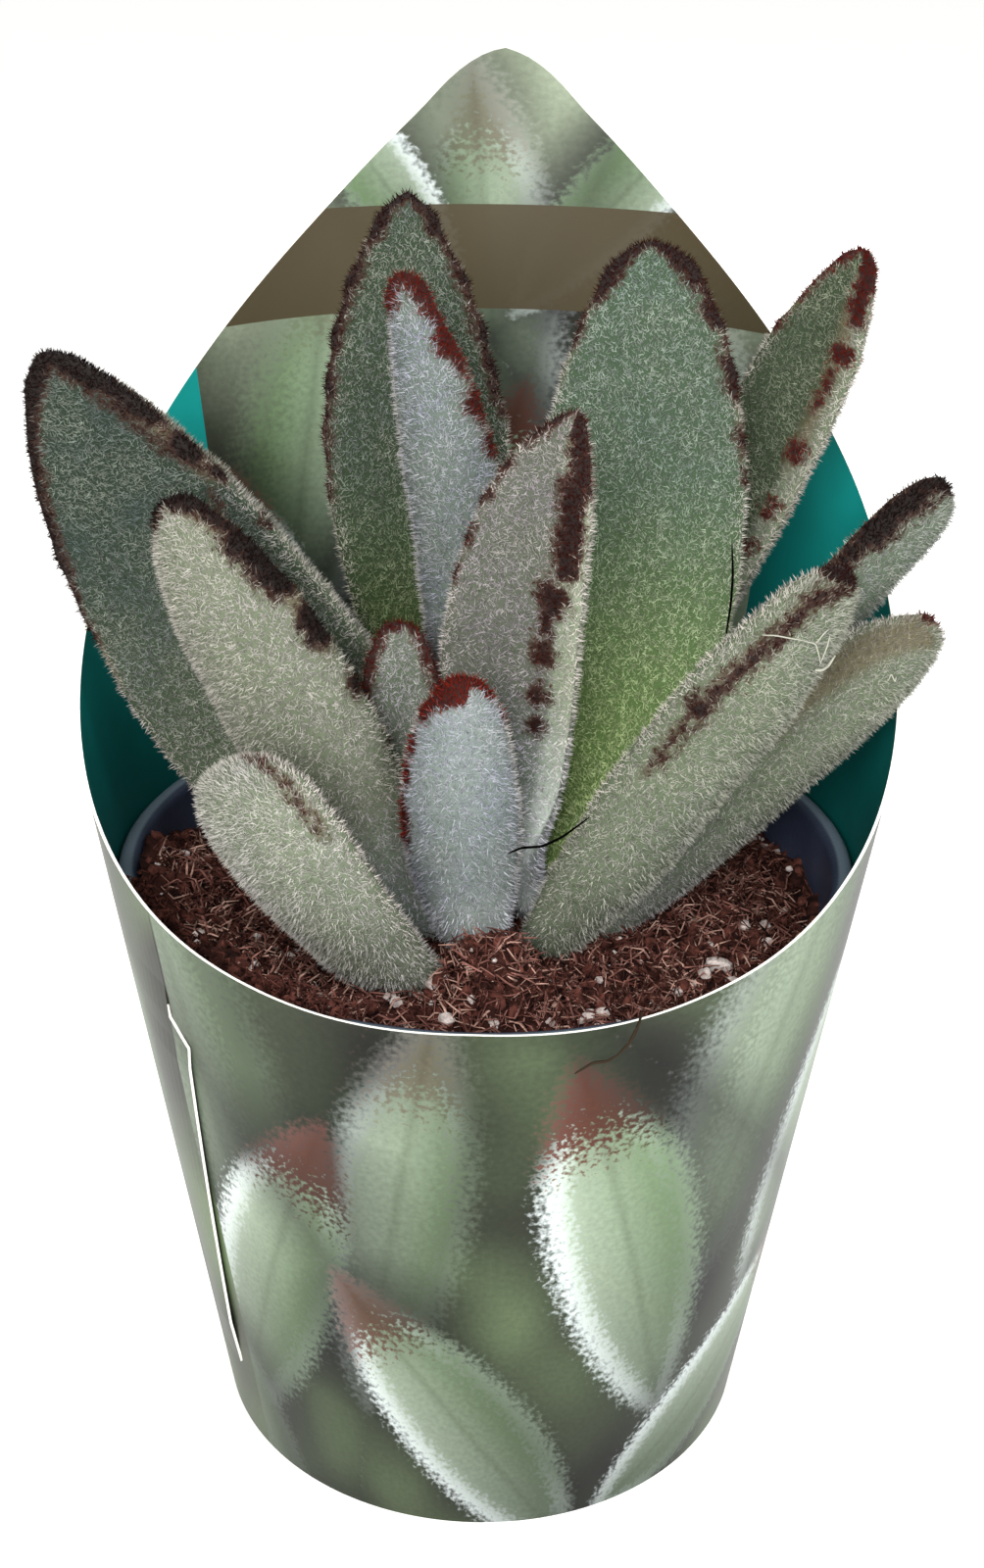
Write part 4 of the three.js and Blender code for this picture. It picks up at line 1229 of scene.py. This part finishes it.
class SleeveSettings(PropertyGroup):
    """Sizes of the card sleeve and colours of its print."""

    foot_radius: length_choice("Foot Radius", "Inner radius of the sleeve at its foot", 34.25, 100)
    flare: share_choice("Flare", "How much the radius grows for each length of height", 0.147)
    card: length_choice("Board", "Thickness of the board", 0.35, 2)
    lift: length_choice("Lap Lift", "How far the lap's free edge stands off", 0.4, 3)
    ground_dark: colour_choice("Ground, Dark", "Darkest colour behind the outer leaves", "2b2b25")
    ground_light: colour_choice("Ground, Light", "Palest colour behind the outer leaves", "5b6b4d")
    inner_dark: colour_choice("Inner Ground, Dark", "Darkest colour behind the inner leaves", "3a3f2e")
    inner_light: colour_choice("Inner Ground, Light", "Palest colour behind the inner leaves", "98a48c")
    leaf_dark: colour_choice("Printed Leaf, Dark", "Colour of the darkest printed leaves", "2c3325")
    leaf_light: colour_choice("Printed Leaf, Light", "Colour of the lightest printed leaves", "546a48")
    ink: colour_choice("Lining Ink", "Colour of the flat ink on the inner face", "098681")
    band: colour_choice("Band", "Colour of the plain band at the back", "3b321e")
    pulp: colour_choice("Cut Edge", "Palest colour of the board's cut edge", "f6f5f0")
    pulp_dark: colour_choice("Cut Edge, Dark", "Darkest colour of the board's cut edge", "d8d6cc")


def sleeve_tree():
    """Rolls a flat grid into the sleeve: a cone whose rim height follows a curve."""
    tree, given = new_tree(
        "Card Sleeve",
        {
            "Foot Radius": "Float", "Flare": "Float", "Card": "Float", "Turn": "Float",
            "Print": "Material", "Inside": "Material", "Cut Edge": "Material",
        },
    )
    grid = add(tree, "GeometryNodeMeshGrid", [1.0, 1.0, SLEEVE_COLUMNS + 1, SLEEVE_LEVELS + 1])
    place = add(tree, "GeometryNodeInputPosition")
    share = chain(tree, VECTORS, place, ("ADD", (0, 0.5, 0)))
    share = add(tree, "ShaderNodeSeparateXYZ", [share]).outputs
    # Turns from the front, -0.5 to 0.5, and how far that is from the rim's lowest point.
    steps = (("SUBTRACT", given["Turn"]), ("WRAP", 0.5, -0.5), ("ABSOLUTE",), ("MULTIPLY", 2.0))
    rim = add(tree, "ShaderNodeFloatCurve", {"Value": chain(tree, MATHS, share["X"], *steps)})
    curve = rim.mapping.curves[0]
    for angle, height in RIM[1:-1]:
        curve.points.new(angle / 180, height / RIM_TOP)
    curve.points[0].location = (0, RIM[0][1] / RIM_TOP)
    curve.points[-1].location = (1, RIM[-1][1] / RIM_TOP)
    rim.mapping.update()
    height = chain(tree, MATHS, rim.outputs[0], ("MULTIPLY", share["Y"]), ("MULTIPLY", RIM_TOP * MM))
    radius = chain(tree, MATHS, height, ("MULTIPLY_ADD", given["Flare"], given["Foot Radius"]))
    angle = chain(tree, MATHS, share["X"], ("MULTIPLY", 2 * math.pi))
    x = chain(tree, MATHS, angle, ("SINE",), ("MULTIPLY", radius))
    y = chain(tree, MATHS, angle, ("COSINE",), ("MULTIPLY", radius), ("MULTIPLY", -1.0))
    rolled = add(tree, "ShaderNodeCombineXYZ", [x, y, height])
    # The flat card's own coordinates in mm, which the print follows.
    across = chain(tree, MATHS, share["X"], ("MULTIPLY", 360 * MM_PER_DEGREE))
    upward = chain(tree, MATHS, height, ("MULTIPLY", 1 / MM))
    flat = add(tree, "ShaderNodeCombineXYZ", [across, upward, 0.0])
    mapped = {"Geometry": grid, "Name": "card", "Value": flat}
    mapped = add(
        tree, "GeometryNodeStoreNamedAttribute", mapped, data_type="FLOAT2", domain="CORNER"
    )
    rolled = add(tree, "GeometryNodeSetPosition", {"Geometry": mapped, "Position": rolled})
    merge = "GeometryNodeMergeByDistance"
    rolled = add(tree, merge, {"Geometry": rolled, "Distance": 0.01 * MM})
    outward = chain(tree, VECTORS, place, ("MULTIPLY", (1, 1, 0)), ("NORMALIZE",))
    thick = {
        "Mesh": rolled, "Offset": outward, "Offset Scale": given["Card"], "Individual": False,
    }
    thick = add(tree, "GeometryNodeExtrudeMesh", thick, mode="FACES")
    both = add(tree, "GeometryNodeJoinGeometry")
    for layer in (thick, add(tree, "GeometryNodeFlipFaces", [rolled])):
        plug(tree, layer, both.inputs[0])
    made = add(tree, merge, {"Geometry": both, "Distance": 0.01 * MM})
    made = add(tree, "GeometryNodeRealizeInstances", {"Geometry": made})
    for material, faces in (("Inside", None), ("Print", "Top"), ("Cut Edge", "Side")):
        faced = {"Geometry": made, "Material": given[material]}
        if faces:
            faced["Selection"] = thick.outputs[faces]
        made = add(tree, "GeometryNodeSetMaterial", faced)
    add(tree, "NodeGroupOutput", {"Geometry": made})
    return tree


# Inks of the printed leaves, besides each leaf's own green.
LIT_INK, RIB_INK, FUR_INK, TIP_INKS = "8b9787", "3a4530", "dde5e8", ("220c07", "521f12")


def printed_leaf_group():
    """One leaf of the printed pattern: a pointed blade, rounded by its shading, with a midrib."""
    tree = bpy.data.node_groups.new("Printed Leaf", "ShaderNodeTree")
    given = sockets_for(
        tree,
        {
            "Ground": "Color", "Card": "Vector", "Middle": "Vector", "Turn": "Float",
            "Size": "Vector", "Blur": "Float", "Grain": "Float", "Green": "Color", "Tip": "Float",
        },
        {"Color": "Color", "Card": "Vector"},
    )
    grain = given["Grain"]
    local = chain(tree, VECTORS, given["Card"], ("SUBTRACT", given["Middle"]))
    local = {"Vector": local, "Angle": given["Turn"]}
    local = add(tree, "ShaderNodeVectorRotate", local, rotation_type="Z_AXIS")
    local = chain(tree, VECTORS, local, ("DIVIDE", given["Size"]))
    across, along, _ = add(tree, "ShaderNodeSeparateXYZ", [local]).outputs
    # The blade's half width at `along`, widest at its middle and pointed at both ends.
    square = chain(tree, MATHS, along, ("MULTIPLY", along))
    room = chain(tree, MATHS, 1.0, ("SUBTRACT", square), ("MAXIMUM", 0.0), ("POWER", 0.7))
    off = chain(tree, MATHS, across, ("ABSOLUTE",))
    gap = chain(tree, MATHS, room, ("SUBTRACT", off))
    fuzzy = chain(tree, MATHS, grain, ("MULTIPLY_ADD", 0.12, gap))
    lit = add(tree, RANGE, [across, 0.6, -0.85])
    shadow = add(tree, RANGE, [gap, -0.8, 0.0, 1.0, 0.45])
    ground = add(tree, MIX, [1.0, given["Ground"], shadow], data_type="RGBA", blend_type="MULTIPLY")
    body = add(tree, MIX, [lit, given["Green"], opaque(LIT_INK)], data_type="RGBA")
    dusk = add(tree, RANGE, [along, 0.35, -1.0, 1.0, 0.45])
    body = add(tree, MIX, [1.0, body, dusk], data_type="RGBA", blend_type="MULTIPLY")
    rib = chain(tree, MATHS, add(tree, RANGE, [off, 0.09, 0.0]), ("MULTIPLY", 0.3))
    body = add(tree, MIX, [rib, body, opaque(RIB_INK)], data_type="RGBA")
    fur = chain(tree, MATHS, lit, ("MULTIPLY_ADD", 0.85, 0.12))
    fur = chain(tree, MATHS, add(tree, RANGE, [fuzzy, 0.5, 0.06]), ("MULTIPLY", fur))
    body = add(tree, MIX, [fur, body, opaque(FUR_INK)], data_type="RGBA")
    tip = chain(tree, MATHS, grain, ("MULTIPLY_ADD", 0.14, along))
    tip = chain(tree, MATHS, add(tree, RANGE, [tip, 0.5, 0.64, 0.0, 0.95]), ("MULTIPLY", given["Tip"]))
    brown = add(tree, MIX, [lit, *map(opaque, TIP_INKS)], data_type="RGBA")
    body = add(tree, MIX, [tip, body, brown], data_type="RGBA")
    cover = {"Value": fuzzy, "From Max": given["Blur"]}
    cover = add(tree, RANGE, cover, interpolation_type="SMOOTHSTEP")
    colour = add(tree, MIX, [cover, ground, body], data_type="RGBA")
    # Cycles has little room for values that wait, so the next leaf's place waits for this colour.
    card = chain(tree, VECTORS, colour, ("MULTIPLY_ADD", (1e-6, 1e-6, 1e-6), given["Card"]))
    add(tree, "NodeGroupOutput", {"Color": colour, "Card": card})
    return tree


# The printed leaves, back to front: where the middle is on the flat card in mm from the front
# and up from the foot, turn in degrees, half width, half length, blur, how light the leaf is
# and how brown its tip is.
OUTER_PRINT = [
    (-34, 62, -8, 15, 44, 0.9, 0.3, 0), (34, 66, 14, 15, 40, 0.9, 0.7, 0),
    (70, 44, -12, 15, 46, 0.8, 0.3, 0), (104, 62, 10, 15, 46, 0.8, 0.4, 0.5),
    (136, 78, -6, 16, 52, 0.8, 0.5, 0.5), (134, 34, 16, 13, 38, 0.5, 0.4, 0.8),
    (170, 56, -14, 15, 46, 0.8, 0.4, 0.5), (204, 46, 8, 13, 44, 0.6, 0.5, 0.8),
    (96, 22, -30, 11, 32, 0.5, 0.5, 0.8), (170, 18, 34, 10, 30, 0.4, 0.6, 0.8),
    (-10, 50, 10, 10, 34, 0.6, 0.4, 0.6), (18, 44, -16, 11, 33, 0.35, 0.8, 1),
    (52, 52, 20, 11, 32, 0.45, 0.6, 1), (-29, 34, 22, 11, 33, 0.3, 0.7, 1),
    (-2, 17, -34, 10, 30, 0.3, 0.5, 0.9), (38, 14, 52, 9, 27, 0.3, 0.7, 0.9),
    (-38, 4, -20, 9, 24, 0.5, 0.2, 0.4), (74, 14, -44, 9, 26, 0.4, 0.5, 0.7),
]
# The same for the inner face, measured from the middle of the back.
INNER_PRINT = [
    (-24, 112, 12, 11, 34, 0.8, 4.0, 0.4), (22, 110, -10, 11, 34, 0.8, 1.4, 0.4),
    (0, 132, 4, 9, 34, 0.6, 0.9, 0.6), (-14, 148, -34, 6, 22, 0.35, 1.4, 0.9),
    (12, 150, 28, 5, 20, 0.35, 1.1, 1), (-29, 92, -8, 8, 26, 0.35, 2.0, 1),
    (28, 90, 10, 8, 26, 0.35, 1.5, 1), (2, 98, -14, 8, 26, 0.4, 1.6, 1),
]
CLOUD_SIZE = 24  # mm between the soft clouds behind the printed leaves
FUR_SIZE = 0.7  # mm between the printed hairs


def print_colour(tree, card, leaves, dark, light, settings):
    """A soft green ground with the printed leaves on it."""
    clouds = {"Vector": card, "Scale": 1 / CLOUD_SIZE, "Detail": 1.0}
    cloud = add(tree, RANGE, [add(tree, "ShaderNodeTexNoise", clouds), 0.35, 0.65])
    fur = {"Vector": card, "Scale": 1 / FUR_SIZE, "Detail": 2.0}
    grain = add(tree, RANGE, [add(tree, "ShaderNodeTexNoise", fur), 0.3, 0.7, -1.0, 1.0])
    colour = add(tree, MIX, [cloud, opaque(dark), opaque(light)], data_type="RGBA")
    group = bpy.data.node_groups.get("Printed Leaf") or printed_leaf_group()
    for x, y, turn, width, length, blur, lightness, tip in leaves:
        green = lerp(np.array(settings.leaf_dark), np.array(settings.leaf_light), lightness)
        leaf = {
            "Ground": colour, "Card": card, "Middle": (x, y, 0), "Turn": math.radians(turn),
            "Size": (width, length, 1), "Blur": blur, "Grain": grain, "Green": opaque(green), "Tip": tip,
        }
        leaf = add(tree, "ShaderNodeGroup", leaf, node_tree=group)
        colour, card = leaf.outputs["Color"], leaf.outputs["Card"]
    speck = add(tree, RANGE, [grain, -1.0, 1.0, 0.86, 1.1])
    return add(tree, MIX, [1.0, colour, speck], data_type="RGBA", blend_type="MULTIPLY")


def card_place(tree, cut):
    """Where a point is on the flat card in mm, for a card cut at `cut` degrees from the front."""
    card = add(tree, "ShaderNodeUVMap", uv_map="card")
    x, y, _ = add(tree, "ShaderNodeSeparateXYZ", [card]).outputs
    return chain(tree, MATHS, x, ("WRAP", (cut + 360) * MM_PER_DEGREE, cut * MM_PER_DEGREE)), y


def coated_print(settings):
    """Coated carton board, printed in soft greens: smooth, with a satin varnish."""
    material, tree, surface = new_material("Printed board", Roughness=0.38, Specular_IOR_Level=0.12)
    x, y = card_place(tree, LAP_CUT)
    card = add(tree, "ShaderNodeCombineXYZ", [x, y])
    ground = (settings.ground_dark, settings.ground_light)
    colour = print_colour(tree, card, OUTER_PRINT, *ground, settings)
    foot = add(tree, RANGE, [y, *FOOT_SHADE])
    dress(tree, surface, add(tree, MIX, [1.0, colour, foot], data_type="RGBA", blend_type="MULTIPLY"))
    return material


def lined_inside(settings):
    """The board's inner face: flat teal ink, darker towards the soil with painted shade, with a picture and
    a plain band at the back.
    """
    material, tree, surface = new_material("Teal board lining", Roughness=0.5, Specular_IOR_Level=0.2)
    x, y = card_place(tree, 0)
    x = chain(tree, MATHS, x, ("SUBTRACT", 180 * MM_PER_DEGREE))
    card = add(tree, "ShaderNodeCombineXYZ", [x, y])
    ground = (settings.inner_dark, settings.inner_light)
    picture = print_colour(tree, card, INNER_PRINT, *ground, settings)
    below = chain(tree, MATHS, y, ("LESS_THAN", BAND_TOP))
    band = chain(tree, MATHS, y, ("GREATER_THAN", BAND_FOOT), ("MULTIPLY", below), ("MULTIPLY", BAND_COVER))
    picture = add(tree, MIX, [band, picture, opaque(settings.band)], data_type="RGBA")
    panel = chain(tree, MATHS, x, ("ABSOLUTE",), ("LESS_THAN", PANEL_HALF))
    patchy_ink_and_shade = add(tree, RANGE, [lumps(tree, 9 * MM), 0.3, 0.7, 0.92, 1.08])
    # Painted shade: the teal ink gets darker towards the soil, over the heights that LINING_SHADE gives;
    # the lumps are the ink's own uneven tone.
    patchy_ink_and_shade = chain(tree, MATHS, add(tree, RANGE, [y, *LINING_SHADE]), ("MULTIPLY", patchy_ink_and_shade))
    ink = [1.0, opaque(settings.ink), patchy_ink_and_shade]
    ink = add(tree, MIX, ink, data_type="RGBA", blend_type="MULTIPLY")
    dress(tree, surface, add(tree, MIX, [panel, ink, picture], data_type="RGBA"))
    return material


def cut_edge(settings):
    """The board's cut edge: bare white pulp."""
    material, tree, surface = new_material("Cut board edge", Roughness=0.9)
    colour = [lumps(tree, 0.4 * MM), opaque(settings.pulp_dark), opaque(settings.pulp)]
    dress(tree, surface, add(tree, MIX, colour, data_type="RGBA"))
    return material


def rim_heights(sleeve, angles):
    """The height of the sleeve's rim in mm at angles from the front, read from its mesh."""
    points = outline(sleeve)
    around = np.degrees(np.arctan2(points[:, 0], -points[:, 1]))
    columns = np.round(around * SLEEVE_COLUMNS / 360).astype(int)
    places = np.unique(columns)
    tops = np.array([points[columns == place, 2].max() for place in places])
    return np.interp(angles, places * 360 / SLEEVE_COLUMNS, tops)


PRINTED, LINED, CUT = range(3)  # the order of the lap's materials


def lap_object(materials, sleeve, settings):
    """The end of the board that laps over its other end at the front left."""
    card, lift = settings.card / MM, settings.lift / MM
    knots = np.array(LAP_EDGE, float)
    knots[-1, 0] = rim_heights(sleeve, knots[-1, 1])
    heights = np.unique(np.concatenate([np.linspace(knots[0, 0], knots[-1, 0], LAP_ROWS), knots[:, 0]]))
    edge = np.interp(heights, knots[:, 0], knots[:, 1])
    stand = (card + lift) * np.interp(heights, knots[:, 0], knots[:, 2]) + LAP_SINK
    t = np.linspace(0, 1, LAP_COLUMNS)[None, :]
    angle = lerp(LAP_START, edge[:, None], t)
    # Towards the rim the rows bend up to follow it.
    follow = smooth((heights - LAP_SLIT) / (knots[-1, 0] - LAP_SLIT))[:, None]
    z = heights[:, None] + (rim_heights(sleeve, angle) - knots[-1, 0]) * follow
    raised = lerp(-LAP_SINK, stand[:, None], smooth(t))
    layers = []
    for out in (0.0, card):
        radius = settings.foot_radius / MM + settings.flare * z + raised + out
        turn = np.radians(angle)
        layers.append(np.stack([radius * np.sin(turn), -radius * np.cos(turn), z], -1).reshape(-1, 3))
    rows, columns = len(heights), LAP_COLUMNS
    count = rows * columns
    faces, kinds = [], []
    for i in range(rows - 1):
        for j in range(columns - 1):
            a, b = i * columns + j, (i + 1) * columns + j
            faces += [(a, b, b + 1, a + 1), (count + a, count + a + 1, count + b + 1, count + b)]
            kinds += [LINED, PRINTED]
    border = [(i * columns, (i + 1) * columns) for i in range(rows - 1)]
    border += [((i + 1) * columns - 1 + columns, (i + 1) * columns - 1) for i in range(rows - 1)]
    border += [(j + 1, j) for j in range(columns - 1)]
    border += [((rows - 1) * columns + j, (rows - 1) * columns + j + 1) for j in range(columns - 1)]
    for a, b in border:
        tucked = heights[min(a, b) // columns] > LAP_SLIT and a % columns == b % columns
        faces.append((a, b, count + b, count + a))
        kinds.append(PRINTED if tucked else CUT)
    piece = mesh_object("card_sleeve_lap", np.vstack(layers), faces, materials, smooth_faces=False)
    piece.data.polygons.foreach_set("material_index", kinds)
    flat = np.stack([angle * MM_PER_DEGREE, z], -1).reshape(-1, 2)
    uv = piece.data.uv_layers.new(name="card")
    corners = np.array([loop.vertex_index for loop in piece.data.loops]) % count
    uv.data.foreach_set("uv", flat[corners].ravel())
    shape = bmesh.new()
    shape.from_mesh(piece.data)
    bmesh.ops.recalc_face_normals(shape, faces=shape.faces)
    shape.to_mesh(piece.data)
    shape.free()
    return piece


class PANDA_OT_sleeve(Operator):
    """Build the printed card sleeve and its lap"""

    bl_idname = "panda.sleeve"
    bl_label = "Card Sleeve"

    def execute(self, context):
        settings = context.scene.panda_sleeve
        outside, inside, edge = coated_print(settings), lined_inside(settings), cut_edge(settings)
        seed = mesh_object("seed", [(0, 0, 0)], [])
        sleeve = run_tree(
            seed, sleeve_tree(), "card_sleeve_wrap",
            {
                "Foot Radius": settings.foot_radius, "Flare": settings.flare,
                "Card": settings.card, "Turn": SLEEVE_TURN / 360, "Print": outside,
                "Inside": inside, "Cut Edge": edge,
            },
        )
        bpy.data.objects.remove(seed)
        sleeve.data.polygons.foreach_set("use_smooth", [True] * len(sleeve.data.polygons))
        sleeve.data.set_sharp_from_angle(angle=SHARP)
        finish_piece(sleeve, "sleeve_card", "card_sleeve")
        finish_piece(lap_object([outside, inside, edge], sleeve, settings), "sleeve_card")
        return {"FINISHED"}


# ---- Stage --------------------------------------------------------------------------------
CAMERA_AIM = Vector((0, 0, 85.4))  # mm
CAMERA_DISTANCE = 251.0
CAMERA_ELEVATION = 25.4
CAMERA_ROLL = 0.59
CAMERA_SHIFT = 0.00356

LIGHT_AIM = (0, 0, 0.09)  # metres
# Each light's place and size in metres, and its colour.
LIGHTS = {
    "key": ((-0.22, -0.8, 0.52), 0.5, (1.0, 0.985, 0.96)),
    "fill": ((0.48, -0.52, 0.5), 0.6, (0.96, 0.98, 1.0)),
    "back": ((0.15, 0.85, 0.35), 0.6, (1.0, 1.0, 1.0)),
}
FLOOR_REACH = 3000  # mm from the middle to each edge


def area_light(name, place, size, power, colour):
    """A soft square light at place, in metres, that shines at the plant."""
    lamp = bpy.data.lights.new(name, "AREA")
    lamp.size = size
    lamp.energy = power
    lamp.color = colour
    made = bpy.data.objects.new(name, lamp)
    made.location = place
    made.rotation_euler = (Vector(LIGHT_AIM) - Vector(place)).to_track_quat("-Z", "Y").to_euler()
    bpy.context.scene.collection.objects.link(made)


class StageSettings(PropertyGroup):
    """The studio around the plant."""

    floor: colour_choice("Floor", "Colour of the backdrop paper", "fcfcfa")
    sky: amount_choice("Room Light", "Strength of the even light from all round", 1.0, 10)
    key: amount_choice("Key Light", "Power of the main light", 10.5, 100, "POWER")
    fill: amount_choice("Fill Light", "Power of the light from the right", 4.5, 100, "POWER")
    back: amount_choice("Back Light", "Power of the light from behind", 5.0, 100, "POWER")
    lens: FloatProperty(
        name="Lens", description="Focal length of the camera in millimetres", default=47.25, min=10,
        max=300, subtype="DISTANCE_CAMERA",
    )


class PANDA_OT_stage(Operator):
    """Set the floor, the lights and the camera"""

    bl_idname = "panda.stage"
    bl_label = "Stage"

    def execute(self, context):
        scene = context.scene
        settings = scene.panda_stage
        paper, _, _ = new_material("Backdrop paper", Base_Color=opaque(settings.floor), Roughness=0.95)
        far = FLOOR_REACH
        corners = [(-far, -far, 0), (far, -far, 0), (far, far, 0), (-far, far, 0)]
        floor = mesh_object("floor", corners, [(0, 1, 2, 3)], [paper])

        world = bpy.data.worlds.new("Soft studio")
        world.use_nodes = True
        light = world.node_tree.nodes["Background"]
        light.inputs["Color"].default_value = (1, 1, 1, 1)
        light.inputs["Strength"].default_value = settings.sky
        scene.world = world
        for name, (place, size, colour) in LIGHTS.items():
            area_light(name, place, size, getattr(settings, name), colour)
        scene.view_settings.view_transform = "Standard"

        camera = bpy.data.cameras.new("camera")
        camera.lens = settings.lens
        camera.clip_start = 0.01
        camera.shift_x = CAMERA_SHIFT
        holder = bpy.data.objects.new("camera", camera)
        down = math.radians(CAMERA_ELEVATION)
        back = Vector((0, -math.cos(down), math.sin(down)))
        tilt = Euler((math.pi / 2 - down, 0, 0)).to_matrix().to_4x4()
        roll = Matrix.Rotation(math.radians(CAMERA_ROLL), 4, "Z")
        place = Matrix.Translation((CAMERA_AIM + back * CAMERA_DISTANCE) * MM)
        holder.matrix_world = place @ tilt @ roll
        scene.collection.objects.link(holder)
        scene.camera = holder
        return {"FINISHED"}


# ---- Add-on -------------------------------------------------------------------------------
OPERATORS = (
    PANDA_OT_stage, PANDA_OT_pot, PANDA_OT_soil, PANDA_OT_strays, PANDA_OT_stem, PANDA_OT_leaves,
    PANDA_OT_sleeve,
)

SETTINGS = {
    "panda_stage": StageSettings, "panda_pot": PotSettings, "panda_soil": SoilSettings,
    "panda_leaves": LeafSettings, "panda_sleeve": SleeveSettings,
}


class PANDA_PT_panel(Panel):
    """Lists the plant's pieces and settings"""

    bl_label = "Panda Plant"
    bl_idname = "PANDA_PT_panel"
    bl_space_type = "VIEW_3D"
    bl_region_type = "UI"
    bl_category = "Panda Plant"

    def draw(self, context):
        for operator in OPERATORS:
            self.layout.operator(operator.bl_idname)
        for name, group in SETTINGS.items():
            box = self.layout.box()
            box.label(text=group.__name__.replace("Settings", ""))
            for choice in group.__annotations__:
                box.prop(getattr(context.scene, name), choice)


CLASSES = (*SETTINGS.values(), *OPERATORS, PANDA_PT_panel)


def register():
    for made in CLASSES:
        bpy.utils.register_class(made)
    for name, group in SETTINGS.items():
        setattr(bpy.types.Scene, name, PointerProperty(type=group))


def unregister():
    for name in SETTINGS:
        delattr(bpy.types.Scene, name)
    for made in reversed(CLASSES):
        bpy.utils.unregister_class(made)


def main():
    register()
    bpy.ops.panda.stage()
    bpy.ops.panda.pot()
    bpy.ops.panda.soil()
    bpy.ops.panda.strays()
    bpy.ops.panda.stem()
    bpy.ops.panda.leaves()
    bpy.ops.panda.sleeve()


if __name__ == "__main__":
    main()
